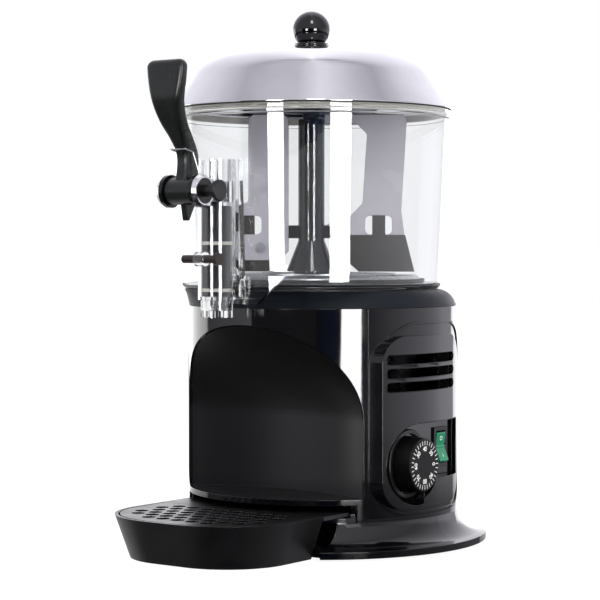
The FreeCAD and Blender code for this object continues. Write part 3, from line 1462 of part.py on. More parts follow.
def make_piston():
    """The piston that closes the tap's tube, with the jaws that the lever lifts."""
    y = S.tap_setback
    radius = S.piston_radius
    half = S.piston_groove / 2
    floor = radius - S.piston_groove_depth
    lower = S.lower_ring_height
    upper = S.upper_ring_height
    jaw_middle = S.pivot_z
    lower_jaw_top = jaw_middle - S.jaw_opening / 2
    upper_jaw_bottom = jaw_middle + S.jaw_opening / 2
    plug = spun("piston_plug", [
        (0, S.piston_bottom), (radius, S.piston_bottom), (radius, lower - half),
        (floor, lower - half), (floor, lower + half), (radius, lower + half),
        (radius, upper - half), (floor, upper - half), (floor, upper + half),
        (radius, upper + half), (radius, S.piston_top), (S.piston_stem, S.piston_top),
        (S.piston_stem, lower_jaw_top), (0, lower_jaw_top),
    ], y)
    x = (-S.jaw_half_width, S.jaw_half_width)
    lower_jaw = box("lower_jaw", x, (S.jaw_short_front, S.jaw_back),
                    (lower_jaw_top - S.jaw_thickness, lower_jaw_top))
    upper_jaw = box("upper_jaw", x, (S.jaw_front, S.jaw_back),
                    (upper_jaw_bottom, upper_jaw_bottom + S.jaw_thickness))
    web = box("jaw_web", x, (S.jaw_back - S.jaw_web, S.jaw_back),
              (lower_jaw_top - S.jaw_thickness, upper_jaw_bottom + S.jaw_thickness))
    node("piston", fuse("piston_solid", plug, lower_jaw, upper_jaw, web))
    rings = []
    for index, height in enumerate((lower, upper)):
        rings.append(ring(f"piston_ring_{index}", S.tap_bore - S.running_fit, floor + S.running_fit,
                          height - half, height + half, y))
    node("piston_rings", copies("piston_ring_pair", rings))


def make_lever():
    """The tap's lever: hub, flared handle, toe, and the arm that lifts the piston."""
    y = S.pivot_y
    z = S.pivot_z
    hub_half = S.lever_hub_half_width
    hub = rod("lever_hub", S.lever_hub_radius, -hub_half, hub_half, 0, y, z, ALONG_X)
    neck = (S.lever_neck_width, S.lever_neck_depth, S.lever_neck_y)
    sections = []
    for height, width, depth, centre in (
            (z + S.small_edge * 2, *neck),
            (S.lever_neck_height, *neck),
            (S.lever_bend_height, S.lever_bend_width, S.lever_bend_depth, S.lever_bend_y),
            (S.lever_palm_height, S.lever_palm_width, S.lever_palm_depth, S.lever_palm_y),
            (S.lever_blade_height, S.lever_blade_width, S.lever_blade_depth, S.lever_blade_y),
            (S.lever_top, S.lever_tip_width, S.lever_tip_depth, S.lever_blade_y)):
        sections.append((height, rectangle(-width / 2, width / 2, centre - depth / 2,
                                           centre + depth / 2, depth / 4)))
    half = S.lever_tip_width / 2 + S.small_edge
    shoulder = S.lever_top - S.lever_crown
    top_form = slab("lever_top_form", "XZ", [
        (-half, z), (half, z), (half, shoulder, S.lever_tip_corner),
        (0, S.lever_top, S.lever_blade_width * 2), (-half, shoulder, S.lever_tip_corner),
    ], y * 2, y / 2)
    handle = common("lever_handle", lofted("lever_form", sections), top_form)
    toe_half = S.lever_toe_width / 2
    toe = slab("lever_toe", "YZ", [
        (y - S.lever_toe_front, z), (y, S.lever_toe_bottom),
        (y + S.lever_toe_tip, S.lever_toe_bottom), (y + S.lever_toe_back, z),
    ], -toe_half, toe_half)
    arm_half = S.lever_arm_width / 2
    tip_y = y + S.lever_arm_reach
    half_height = S.lever_arm_height / 2
    arm = box("lever_arm", (-arm_half, arm_half), (y, tip_y), (z - half_height, z + half_height))
    tip = rod("lever_tip", half_height, -arm_half, arm_half, 0, tip_y, z, ALONG_X)
    bore = rod("lever_bore", S.pivot_pin_radius + S.running_fit, -S.tap_radius, S.tap_radius, 0, y,
               z, ALONG_X)
    node("lever", cut("lever_bored", fuse("lever_solid", hub, handle, toe, arm, tip), bore))
    make_clip()


def make_clip():
    """The spring wire clip that embraces the lever's neck and stands on the hub."""
    wire = amount(S.clip_wire)
    gap = amount(S.part_gap)
    foot_x = amount(S.clip_foot_x)
    foot_y = amount(S.clip_foot_y)
    hub_rise = math.sqrt(amount(S.lever_hub_radius) ** 2 - (foot_y - amount(S.pivot_y)) ** 2)
    foot_z = amount(S.pivot_z) + hub_rise + wire + gap
    side_x = amount(S.lever_neck_width) / 2 + wire + gap
    top_z = amount(S.clip_height)
    front_y = amount(S.lever_neck_y - S.lever_neck_depth / 2) - wire - gap
    corners = [
        FreeCAD.Vector(foot_x, foot_y, foot_z),
        FreeCAD.Vector(side_x, amount(S.lever_neck_y), top_z - amount(S.clip_drop)),
        FreeCAD.Vector(side_x, front_y, top_z),
    ]
    corners += [FreeCAD.Vector(-point.x, point.y, point.z) for point in reversed(corners)]
    path = Part.Wire(Part.makePolygon(corners).Edges)
    section = Part.Wire(Part.makeCircle(wire, corners[0], corners[1] - corners[0]))
    clip = add("Part::Feature", "clip")
    clip.Shape = path.makePipeShell([section], True, False, 2)
    node("spring_clip", clip)


# Drip tray and grid ------------------------------------------------------------------------------

def tray_outline(inset, corner, back):
    """The tray's outline: square behind, with two large rounded corners in front."""
    half = S.tray_half_width - inset
    front = -S.tray_reach + inset
    return [(-half, back), (-half, front, corner - inset), (half, front, corner - inset),
            (half, back)]


def make_tray():
    """The drip tray with its tongue, and the grid of hexagonal holes."""
    wall = S.tray_wall
    outer = lofted("tray_outside", [
        (S.tray_bottom, tray_outline(S.tray_inset, S.tray_corner, S.tray_back)),
        (S.tray_top, tray_outline(0, S.tray_corner, S.tray_back))])
    inner = lofted("tray_inside", [
        (S.tray_bottom + S.tray_floor,
         tray_outline(S.tray_inset + wall, S.tray_corner, S.tray_back - wall)),
        (S.tray_top, tray_outline(wall, S.tray_corner, S.tray_back - wall))])
    tongue = box("tray_tongue", (-S.tray_half_width, S.tray_half_width),
                 (S.tray_back, S.tongue_back), (S.tray_top - S.tongue_thickness, S.tray_top))
    node("drip_tray", cut("tray", fuse("tray_solid", outer, tongue), inner))

    margin = S.grid_margin
    low = S.tray_top - S.grid_thickness
    back = S.tray_back - wall - S.part_gap
    plate = slab("grid_plate", "XY", tray_outline(margin, S.tray_corner, back), low, S.tray_top)
    holes = []
    pitch = amount(S.grid_pitch)
    row_step = pitch * math.sqrt(3) / 2
    inner_half = amount(S.tray_half_width - margin - S.grid_rim - S.grid_hole_radius)
    corner = amount(S.tray_corner - margin - S.grid_rim - S.grid_hole_radius)
    front = -amount(S.tray_reach - margin - S.grid_rim - S.grid_hole_radius)
    last = amount(back - S.grid_rim - S.grid_hole_radius)
    for row in range(int((last - front) / row_step) + 1):
        y = last - row * row_step
        depth_in_corner = max(0.0, front + corner - y)
        half = inner_half - corner + math.sqrt(corner ** 2 - depth_in_corner ** 2)
        shift = 0 if row % 2 else 0.5
        for column in range(-int(half / pitch + shift), int(half / pitch - shift) + 1):
            x = (column + shift) * pitch
            hole = add("Part::Prism", "grid_hole")
            hole.Polygon = 6
            bind(hole, Circumradius=S.grid_hole_radius, Height=S.grid_thickness * 3)
            holes.append(place(hole, x, y, low - S.grid_thickness))
    node("drip_grid", cut("grid", plate, *holes))


def check():
    """Stops the build if any object or any sub-part's shape is unsound."""
    for thing in doc.Objects:
        if "Invalid" in thing.State or "Error" in thing.State:
            raise RuntimeError(f"{thing.Name} could not be computed")
    for part in NODES:
        if part.Shape.isNull() or not part.Shape.isValid() or not part.Shape.Solids:
            raise RuntimeError(f"{part.Label} has no sound shape")


make_base()
make_body_panels()
make_controls()
make_bowl_seat()
make_inner_works()
make_bowl()
make_lid()
make_stirrer()
make_tap()
make_piston()
make_lever()
make_tray()
doc.recompute()
check()
os.makedirs("parts", exist_ok=True)
for part in NODES:
    part.Shape.exportStep(f"parts/{part.Label}.step")
    print(f"{part.Label}: {len(part.Shape.Solids)} solid(s)")
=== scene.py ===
"""Looks of a table-top hot chocolate dispenser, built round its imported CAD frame."""

from __future__ import annotations

import json
import logging
import math
from dataclasses import dataclass, field
from enum import Enum
from typing import Sequence

import bmesh
import bpy
import numpy as np
from mathutils import Euler, Matrix, Vector

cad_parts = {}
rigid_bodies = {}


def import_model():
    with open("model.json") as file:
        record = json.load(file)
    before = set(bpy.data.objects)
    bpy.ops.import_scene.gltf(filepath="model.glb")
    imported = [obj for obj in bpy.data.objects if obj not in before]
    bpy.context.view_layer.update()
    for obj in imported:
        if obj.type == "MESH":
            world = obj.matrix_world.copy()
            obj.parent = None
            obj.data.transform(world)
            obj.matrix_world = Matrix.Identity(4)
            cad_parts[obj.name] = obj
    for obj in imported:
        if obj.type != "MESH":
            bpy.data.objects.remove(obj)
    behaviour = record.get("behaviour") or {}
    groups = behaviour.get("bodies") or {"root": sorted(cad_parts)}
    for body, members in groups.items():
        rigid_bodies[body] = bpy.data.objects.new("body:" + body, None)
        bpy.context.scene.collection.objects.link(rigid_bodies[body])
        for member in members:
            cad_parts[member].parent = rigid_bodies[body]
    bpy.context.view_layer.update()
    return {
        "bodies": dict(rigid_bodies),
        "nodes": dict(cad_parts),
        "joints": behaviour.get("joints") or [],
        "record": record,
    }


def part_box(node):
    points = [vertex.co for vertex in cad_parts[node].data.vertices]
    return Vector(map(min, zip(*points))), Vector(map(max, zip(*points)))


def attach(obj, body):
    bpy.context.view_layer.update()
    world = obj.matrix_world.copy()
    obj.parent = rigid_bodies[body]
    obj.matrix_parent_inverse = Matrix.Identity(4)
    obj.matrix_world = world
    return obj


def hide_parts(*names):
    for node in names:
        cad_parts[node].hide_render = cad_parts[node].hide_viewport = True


log = logging.getLogger("dispenser")

MM = 0.001

Tree = bpy.types.NodeTree
Node = bpy.types.Node
Socket = bpy.types.NodeSocket
Piece = bpy.types.Object


class Spin(Enum):
    """The axis a profile is turned round, as the places of (radius cos, radius sin, height)."""

    UPRIGHT = (0, 1, 2)
    SIDEWAYS = (1, 2, 0)


class Face(Enum):
    """The plane that an outline lies in, as the places of (first, second, depth)."""

    SIDE = (1, 2, 0)
    FRONT = (0, 2, 1)


# Materials ----------------------------------------------------------------------------------------


def linear(colour: str) -> tuple[float, float, float, float]:
    """Turns an sRGB hex colour into linear values with an alpha of one.

    Args:
        colour: Six hexadecimal digits after a hash sign.

    Returns:
        The red, green, blue and alpha values.
    """
    shares = [int(colour[start:start + 2], 16) / 255 for start in (1, 3, 5)]
    return tuple(c / 12.92 if c <= 0.04045 else ((c + 0.055) / 1.055) ** 2.4 for c in shares) + (1,)


def add_node(tree: Tree, kind: str, inputs: dict | None = None, **settings: object) -> Node:
    """Adds one shader node.

    Args:
        tree: The tree that gets the node.
        kind: The node's type.
        inputs: Values, or other nodes' output sockets, by the name or number of the input socket.
        settings: The node's own properties.

    Returns:
        The new node.
    """
    made = tree.nodes.new(kind)
    for name, value in settings.items():
        setattr(made, name, value)
    for socket, value in (inputs or {}).items():
        if isinstance(value, Socket):
            tree.links.new(value, made.inputs[socket])
        else:
            made.inputs[socket].default_value = value
    return made


def cleared(holder: bpy.types.Material | bpy.types.World) -> Tree:
    """Gives a material or a world an empty node tree.

    Args:
        holder: The material or the world.

    Returns:
        The tree.
    """
    holder.use_nodes = True
    holder.node_tree.nodes.clear()
    return holder.node_tree


def reckon(tree: Tree, operation: str, *values: object) -> Socket:
    """Adds one sum.

    Args:
        tree: The tree.
        operation: The kind of sum.
        values: Numbers or sockets.

    Returns:
        The result's socket.
    """
    return add_node(tree, "ShaderNodeMath", dict(enumerate(values)), operation=operation).outputs[0]


def ramp(tree: Tree, value: Socket, stops: Sequence[tuple[float, str]]) -> Socket:
    """Colours a value between stops.

    Args:
        tree: The tree.
        value: The value, from 0 to 1.
        stops: Each stop's place and its hex colour.

    Returns:
        The colour socket.
    """
    made = add_node(tree, "ShaderNodeValToRGB", {0: value})
    for place, _ in stops[2:]:
        made.color_ramp.elements.new(place)
    for element, (place, colour) in zip(made.color_ramp.elements, stops):
        element.position = place
        element.color = linear(colour)
    return made.outputs["Color"]


@dataclass(frozen=True)
class Finish:
    """A finish: a base colour that drifts a little, and a fine relief of one real grain size.

    Attributes:
        name: The material's common name and how it was made.
        colour: Its main colour.
        drift: The colour that it drifts to in broad soft patches.
        roughness: Its mean roughness.
        scatter: How far the roughness goes to each side.
        grain: The grain's size in millimetres.
        relief: The grain's depth in millimetres.
        patch: The size of the patches in millimetres.
        edge: The radius in millimetres at which edges are broken.
        metallic: Its metallic share.
        ior: Its index of refraction.
        coat: The weight of a clear coat.
        transmission: How much light it lets through.
    """

    name: str
    colour: str
    drift: str
    roughness: float
    scatter: float = 0.04
    grain: float = 0.4
    relief: float = 0.01
    patch: float = 30
    edge: float = 0.4
    metallic: float = 0
    ior: float = 1.5
    coat: float = 0
    transmission: float = 0

    def build(self) -> bpy.types.Material:
        """Makes the material, once.

        Returns:
            The Blender material.
        """
        if self.name in bpy.data.materials:
            return bpy.data.materials[self.name]
        material = bpy.data.materials.new(self.name)
        tree = cleared(material)
        place = add_node(tree, "ShaderNodeTexCoord").outputs["Object"]
        shader = self.shader(tree, place)
        add_node(tree, "ShaderNodeOutputMaterial", {"Surface": shader.outputs[0]})
        return material

    def shader(self, tree: Tree, place: Socket) -> Node:
        """Makes the shader with its colour drift, roughness and grain.

        Args:
            tree: The material's tree.
            place: The object coordinates.

        Returns:
            The Principled node.
        """
        patches = add_node(tree, "ShaderNodeTexNoise", {
            "Vector": place, "Scale": 1 / (self.patch * MM), "Detail": 3, "Roughness": 0.5})
        rough = add_node(tree, "ShaderNodeMapRange", {
            "Value": patches.outputs["Fac"], "From Min": 0.3, "From Max": 0.7,
            "To Min": max(self.roughness - self.scatter, 0.01),
            "To Max": self.roughness + self.scatter})
        return add_node(tree, "ShaderNodeBsdfPrincipled", {
            "Base Color": self.base(tree, place, patches.outputs["Fac"]),
            "Roughness": rough.outputs[0], "Metallic": self.metallic, "IOR": self.ior,
            "Coat Weight": self.coat, "Transmission Weight": self.transmission,
            "Normal": self.grain_normal(tree, place)})

    def base(self, tree: Tree, place: Socket, patches: Socket) -> Socket:
        """Colours the body: the main colour, drifting in soft patches.

        Args:
            tree: The material's tree.
            place: The object coordinates; not used.
            patches: The noise of the patches.

        Returns:
            The colour socket.
        """
        return ramp(tree, patches, ((0.35, self.colour), (0.7, self.drift)))

    def grain_normal(self, tree: Tree, place: Socket) -> Socket:
        """Raises the grain, a fine noise of the grain's own size, and breaks the edges.

        Args:
            tree: The material's tree.
            place: The object coordinates.

        Returns:
            The normal socket.
        """
        grain = add_node(tree, "ShaderNodeTexNoise", {
            "Vector": place, "Scale": 1 / (self.grain * MM), "Detail": 2})
        links = {"Height": grain.outputs["Fac"], "Distance": self.relief * MM, "Strength": 1}
        if self.edge:
            broken = add_node(tree, "ShaderNodeBevel", {"Radius": self.edge * MM}, samples=6)
            links["Normal"] = broken.outputs[0]
        return add_node(tree, "ShaderNodeBump", links).outputs[0]


@dataclass(frozen=True)
class Clear(Finish):
    """A clear moulding: polished faces, a faint ripple and nothing in its body."""

    def shader(self, tree: Tree, place: Socket) -> Node:
        """Makes the clear shader.

        Args:
            tree: The material's tree.
            place: The object coordinates.

        Returns:
            The Principled node.
        """
        return add_node(tree, "ShaderNodeBsdfPrincipled", {
            "Base Color": linear(self.colour), "Roughness": self.roughness, "IOR": self.ior,
            "Transmission Weight": 1, "Normal": self.grain_normal(tree, place)})


@dataclass(frozen=True)
class Lined(Finish):
    """A finish with fine upright lines, as a moulding tool's cutter leaves them.

    Attributes:
        pitch: The distance between lines in millimetres.
        turn: The way that the lines follow one another, in degrees round the upright axis.
    """

    pitch: float = 1.4
    turn: float = 36

    def base(self, tree: Tree, place: Socket, patches: Socket) -> Socket:
        """Colours the lines: a wave between both colours across them.

        Args:
            tree: The material's tree.
            place: The object coordinates.
            patches: The noise of the patches; not used.

        Returns:
            The colour socket.
        """
        across = add_node(tree, "ShaderNodeMapping", {
            "Vector": place, "Rotation": (0, 0, -math.radians(self.turn))})
        lines = add_node(tree, "ShaderNodeTexWave", {
            "Vector": across.outputs[0], "Scale": 0.314 / (self.pitch * MM), "Distortion": 0.6,
            "Detail": 1}, bands_direction="X")
        return ramp(tree, lines.outputs["Fac"], ((0.1, self.colour), (0.9, self.drift)))


@dataclass(frozen=True)
class Scooped(Finish):
    """A polished round skin whose scoop, further in, is left satin, its lighter colour painted
    sheen.

    Attributes:
        axis_y: How far back the skin's axis stands, in millimetres.
        inner: The distance from the axis up to which it is satin.
        outer: The distance from which it is polished.
        satin: The scoop's roughness.
        satin_colour: The scoop's colour, lighter than the skin's: painted sheen.
    """

    axis_y: float = 36
    inner: float = 101
    outer: float = 103
    satin: float = 0.36
    satin_colour: str = "#121113"

    def shader(self, tree: Tree, place: Socket) -> Node:
        """Makes the shader, its roughness and colour mixed by the distance from the axis.

        Args:
            tree: The material's tree.
            place: The object coordinates.

        Returns:
            The Principled node.
        """
        made = super().shader(tree, place)
        flat = add_node(tree, "ShaderNodeVectorMath", {
            0: place, 1: (1, 1, 0), 2: (0, -self.axis_y * MM, 0)}, operation="MULTIPLY_ADD")
        far = add_node(tree, "ShaderNodeVectorMath", {0: flat.outputs[0]}, operation="LENGTH")
        skin = add_node(tree, "ShaderNodeMapRange", {
            "Value": far.outputs["Value"], "From Min": self.inner * MM,
            "From Max": self.outer * MM}).outputs[0]
        polish = made.inputs["Roughness"].links[0].from_socket
        rough = add_node(tree, "ShaderNodeMix", {0: skin, 2: self.satin, 3: polish},
                         data_type="FLOAT")
        colour = made.inputs["Base Color"].links[0].from_socket
        # The scoop's lighter colour is painted sheen of its satin grain.
        base = add_node(tree, "ShaderNodeMix", {0: skin, 6: linear(self.satin_colour), 7: colour},
                        data_type="RGBA")
        tree.links.new(rough.outputs[0], made.inputs["Roughness"])
        tree.links.new(base.outputs[2], made.inputs["Base Color"])
        return made


# Acrylonitrile butadiene styrene (ABS), moulded in a polished tool: black with a mirror-like gloss.
POLISHED_ABS = Finish("ABS moulded polished black", "#060608", "#0a0a0d", 0.07, 0.02, grain=6,
                      relief=0.01, ior=1.52)
# The front panel's tool is polished round the body and finely eroded inside the scoop, whose
# lighter colour is painted sheen.
SCOOPED_ABS = Scooped("ABS moulded polished and satin", "#060608", "#0a0a0d", 0.07, 0.02, grain=6,
                      relief=0.01, ior=1.52)
# The dial's plastic: matt, so that its print stands out.
MATT_ABS = Finish("ABS moulded matt black", "#060607", "#09090a", 0.42, 0.05, grain=0.6,
                  relief=0.012, ior=1.3)
# The same plastic from a spark-eroded tool: a soft satin sheen from a fine grain.
SATIN_ABS = Finish("ABS moulded satin black", "#0b0b0c", "#101011", 0.36, 0.05, grain=0.6,
                   relief=0.015)
# Glass-filled nylon of the lever: black with a faint green cast, waxy from handling.
NYLON = Finish("nylon moulded black", "#0c100e", "#111513", 0.3, 0.05, grain=0.8, relief=0.01)
# Coarse-grained polypropylene: slate-blue black, dull, its grain large enough to see.
GRAINED_PP = Finish("polypropylene moulded grained", "#090e15", "#10161f", 0.46, 0.06, grain=1.1,
                    relief=0.09, patch=9, edge=1, ior=1.36)
# Polycarbonate without a tint: as clear as glass, with the slow ripple of a moulding.
POLYCARBONATE = Clear("polycarbonate moulded clear", "#f8f9fa", "#ffffff", 0.015, grain=22,
                      relief=0.02, edge=0)
# Grey translucent polyamide: smooth and even, with light passing a little way in.
SMOKE = Finish("polyamide moulded grey", "#bab6bf", "#c6c2ca", 0.26, 0.03, grain=3, relief=0.01,
               patch=60)
# The cut edge of the same sheet, painted darker as shade: it sends the light away along the plate
# and so looks dark.
SMOKE_EDGE_SHADE = Finish("polyamide cut edge painted shade", "#2c292e", "#3a373c", 0.3, 0.04)
# Dark silicone with the tool's fine upright lines.
SILICONE = Lined("silicone moulded dark", "#1c1a17", "#2a2723", 0.5, 0.05, grain=0.6, relief=0.02)
# White-grey food-grade silicone of the seals: milky and soft.
MILKY = Finish("silicone moulded milky", "#b3b0a8", "#c4c1b8", 0.4, 0.05, grain=2, relief=0.02,
               patch=14)
RUBBER = Finish("rubber moulded black", "#101010", "#191919", 0.7, 0.08, grain=0.7, relief=0.03)
# Steel, spun, polished and chromed: the slow ripple of the spinning bends its reflections.
CHROME = Finish("steel spun and polished", "#d2d2d6", "#dadade", 0.07, 0.02, grain=38, relief=0.16,
                metallic=1, edge=0.2)
# Zinc castings, brushed and chromed: paler than polished chrome.
CAST = Finish("zinc cast and chromed", "#d6d6da", "#dedee2", 0.24, 0.04, grain=0.5, relief=0.008,
              metallic=1, edge=0.3)
STEEL = Finish("steel sheet rolled", "#a9abad", "#b8babc", 0.26, 0.06, grain=0.4, relief=0.008,
               metallic=1, edge=0.2)
# Spring wire, drawn and tinned: bright, with faint lines along it.
WIRE = Finish("steel wire drawn", "#c9c9c9", "#dcdcdc", 0.18, 0.05, grain=0.3, relief=0.01,
              metallic=1, edge=0)
GREEN = Finish("polycarbonate moulded green", "#0c8f63", "#14a877", 0.16, 0.03, grain=4,
               relief=0.01, transmission=0.35)
PHENOLIC = Finish("phenolic moulded cream", "#cfc6ae", "#d9d1bc", 0.5, 0.05)
# Pad-printed ink: flat white, a hair proud of the plastic.
MARKING = Finish("marking ink white", "#ececea", "#f4f4f2", 0.5, 0.05, grain=0.3, relief=0.005,
                 edge=0)
CROSS_PIN = Finish("polyamide turned brown", "#1d1613", "#251c18", 0.32, 0.05, grain=0.8)

SLOT_FINISHES = {
    "gloss_black": POLISHED_ABS, "satin_black": SATIN_ABS, "collar_grey": GRAINED_PP,
    "clear": POLYCARBONATE, "smoke": SMOKE, "scraper": SILICONE, "rubber": RUBBER,
    "silver": CHROME, "steel": STEEL, "green": GREEN, "cream": PHENOLIC,
}
NODE_FINISHES = {
    "front_panel": SCOOPED_ABS, "pivot_rings": CAST, "spring_clip": WIRE,
    "cross_pin": CROSS_PIN, "lever": NYLON,
    "piston_rings": MILKY, "port_seal": MILKY, "stirrer_sleeve": POLISHED_ABS,
    "drive_column": POLISHED_ABS,
}


# Shapes -------------------------------------------------------------------------------------------


def extent(node: str) -> np.ndarray:
    """Gives a CAD node's lowest and highest corners in millimetres."""
    return np.array(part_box(node)) / MM


def rounded(corners: Sequence[tuple], steps: int = 8, closed: bool = True) -> np.ndarray:
    """Rounds an outline's corners: each becomes points on the arc that touches both its runs.

    Args:
        corners: Points as x, y and, where rounded, a radius.
        steps: Points on each arc.
        closed: Whether the last point joins the first.

    Returns:
        The outline, one row to a point.
    """
    points = np.array([corner[:2] for corner in corners], float)
    radii = [corner[2] if len(corner) > 2 else 0 for corner in corners]
    rows = []
    for index, radius in enumerate(radii):
        here = points[index]
        if not radius or (not closed and index in (0, len(points) - 1)):
            rows.append(here[None])
            continue
        before = points[index - 1] - here
        after = points[(index + 1) % len(points)] - here
        before /= np.linalg.norm(before)
        after /= np.linalg.norm(after)
        half = math.acos(np.clip(before @ after, -1, 1)) / 2
        middle = (before + after) / np.linalg.norm(before + after)
        centre = here + middle * radius / math.sin(half)
        start = here + before * radius / math.tan(half) - centre
        end = here + after * radius / math.tan(half) - centre
        turn = math.atan2(start[0] * end[1] - start[1] * end[0], start @ end)
        angles = np.linspace(0, turn, steps + 1)
        cosines, sines = np.cos(angles), np.sin(angles)
        rows.append(centre + np.stack([start[0] * cosines - start[1] * sines,
                                       start[0] * sines + start[1] * cosines], axis=1))
    return np.concatenate(rows)


def held(profile: np.ndarray, reach: float = 0.4) -> np.ndarray:
    """Adds points near both ends of a closed outline's long runs, to keep their shading straight.

    Args:
        profile: The outline, one row to a point.
        reach: The distance of the added points from the ends, in millimetres.

    Returns:
        The outline with its added points.
    """
    after = np.roll(profile, -1, axis=0)
    run = after - profile
    length = np.linalg.norm(run, axis=1)
    rows = []
    for start, end, ahead, size in zip(profile, after, run, length):
        rows.append(start)
        if size > reach * 5:
            rows += [start + ahead * reach / size, end - ahead * reach / size]
    return np.array(rows)


def eased(knots: np.ndarray, count: int) -> np.ndarray:
    """Passes a smooth curve through knots: cubic Hermite spans with the slope of the neighbours.

    Args:
        knots: One row to a knot; the first column grows and says how the points are spread.
        count: Points on the curve.

    Returns:
        The points, evenly spread in the first column.
    """
    place = np.linspace(knots[0, 0], knots[-1, 0], count)
    slopes = np.gradient(knots, knots[:, 0], axis=0)
    span = np.clip(np.searchsorted(knots[:, 0], place, "right") - 1, 0, len(knots) - 2)
    width = (knots[span + 1, 0] - knots[span, 0])[:, None]
    t = (place[:, None] - knots[span, :1]) / width
    return ((2 * t ** 3 - 3 * t ** 2 + 1) * knots[span]
            + (t ** 3 - 2 * t ** 2 + t) * width * slopes[span]
            + (3 * t ** 2 - 2 * t ** 3) * knots[span + 1]
            + (t ** 3 - t ** 2) * width * slopes[span + 1])


def object_of(name: str, points: np.ndarray, faces: list, smooth: bool = True) -> Piece:
    """Makes an object from points in metres and faces, closed and facing outwards.

    Args:
        name: The piece's name.
        points: One row to a point.
        faces: Lists of point numbers.
        smooth: Whether its faces are shaded smooth.

    Returns:
        The object.
    """
    mesh = bpy.data.meshes.new(name)
    mesh.from_pydata(points.reshape(-1, 3), [], faces)
    piece = bpy.data.objects.new(name, mesh)
    bpy.context.scene.collection.objects.link(piece)
    close_up(piece)
    mesh.shade_smooth() if smooth else mesh.shade_flat()
    return piece


def surface(name: str, grid: np.ndarray,
            wraps: tuple[bool, bool] = (True, False)) -> Piece:
    """Makes a smooth mesh from a grid of points, one quad between each four neighbours.

    Args:
        name: The piece's name.
        grid: Points in metres, rows by columns by three.
        wraps: Whether the last row joins the first, and the last column the first.

    Returns:
        The object, its poles and seams closed.
    """
    return object_of(name, grid, quads(*grid.shape[:2], wraps))


def quads(rows: int, columns: int, wraps: tuple[bool, bool]) -> list:
    """Numbers the faces of a grid.

    Args:
        rows: Rows of points.
        columns: Points in a row.
        wraps: Whether the last row joins the first, and the last column the first.

    Returns:
        Four point numbers to a face.
    """
    index = np.arange(rows * columns).reshape(rows, columns)
    if wraps[0]:
        index = np.vstack([index, index[:1]])
    if wraps[1]:
        index = np.hstack([index, index[:, :1]])
    faces = np.stack([index[:-1, :-1], index[:-1, 1:], index[1:, 1:], index[1:, :-1]], axis=-1)
    return faces.reshape(-1, 4).tolist()


def close_up(piece: Piece, planar: float = 0) -> None:
    """Merges a mesh's doubles and points its faces outwards.

    Args:
        piece: The object to mend.
        planar: The angle in degrees up to which neighbouring faces become one.
    """
    work = bmesh.new()
    work.from_mesh(piece.data)
    bmesh.ops.remove_doubles(work, verts=work.verts, dist=1e-6)
    bmesh.ops.dissolve_degenerate(work, edges=work.edges, dist=1e-7)
    if planar:
        bmesh.ops.dissolve_limit(work, angle_limit=math.radians(planar), verts=work.verts,
                                 edges=work.edges)
    bmesh.ops.recalc_face_normals(work, faces=work.faces)
    work.to_mesh(piece.data)
    work.free()


def turned(name: str, profile: np.ndarray, centre: Sequence[float], spin: Spin = Spin.UPRIGHT,
           segments: int = 160) -> Piece:
    """Turns a profile round an axis: a point at radius r goes to (r cos t, r sin t, height).

    Args:
        name: The piece's name.
        profile: Closed outline of radius and height, in millimetres.
        centre: A point on the axis, in millimetres.
        spin: Which way the axis runs.
        segments: Steps round the axis.

    Returns:
        The piece.
    """
    angles = np.linspace(0, math.tau, segments, endpoint=False)[None, :]
    profile = held(profile)
    radius = profile[:, :1]
    height = np.broadcast_to(profile[:, 1:2], (len(profile), segments))
    parts = (radius * np.cos(angles), radius * np.sin(angles), height)
    grid = np.empty((len(profile), segments, 3))
    for part, place in zip(parts, spin.value):
        grid[..., place] = part + centre[place]
    return surface(name, grid * MM, wraps=(True, True))


def inset(outline: np.ndarray, depth: float) -> np.ndarray:
    """Moves an anticlockwise outline inwards: each point goes along the mean of its sides' normals.

    Args:
        outline: One row to a point.
        depth: How far it moves.

    Returns:
        The smaller outline.
    """
    side = np.roll(outline, -1, axis=0) - outline
    side /= np.linalg.norm(side, axis=1)[:, None]
    normal = np.stack([-side[:, 1], side[:, 0]], axis=1)
    mean = normal + np.roll(normal, 1, axis=0)
    return outline + mean * depth / (1 + (normal * np.roll(normal, 1, axis=0)).sum(1))[:, None]


def plate(name: str, outline: np.ndarray, low: float, high: float, edge: float,
          face: Face) -> Piece:
    """Extrudes an anticlockwise outline with rounded edges, its rows on a quarter circle inwards.

    Args:
        name: The piece's name.
        outline: One row to a point, in millimetres.
        low: Where it starts, square to its plane.
        high: Where it ends.
        edge: The radius of its edges.
        face: The plane of the outline.

    Returns:
        The piece.
    """
    angles = np.radians((90, 60, 30, 0))
    rows = [(edge * (1 - math.cos(a)), low + edge * (1 - math.sin(a))) for a in angles]
    rows += [(edge * (1 - math.cos(a)), high - edge * (1 - math.sin(a))) for a in angles[::-1]]
    grid = np.empty((len(rows), len(outline), 3))
    for row, (depth, height) in enumerate(rows):
        grid[row][:, face.value[:2]] = inset(outline, depth)
        grid[row][:, face.value[2]] = height
    faces = quads(len(rows), len(outline), (False, True))
    last = len(outline) * (len(rows) - 1)
    faces += [list(range(len(outline))), [last + index for index in range(len(outline))]]
    return keep_edges(object_of(name, grid * MM, faces), 50)


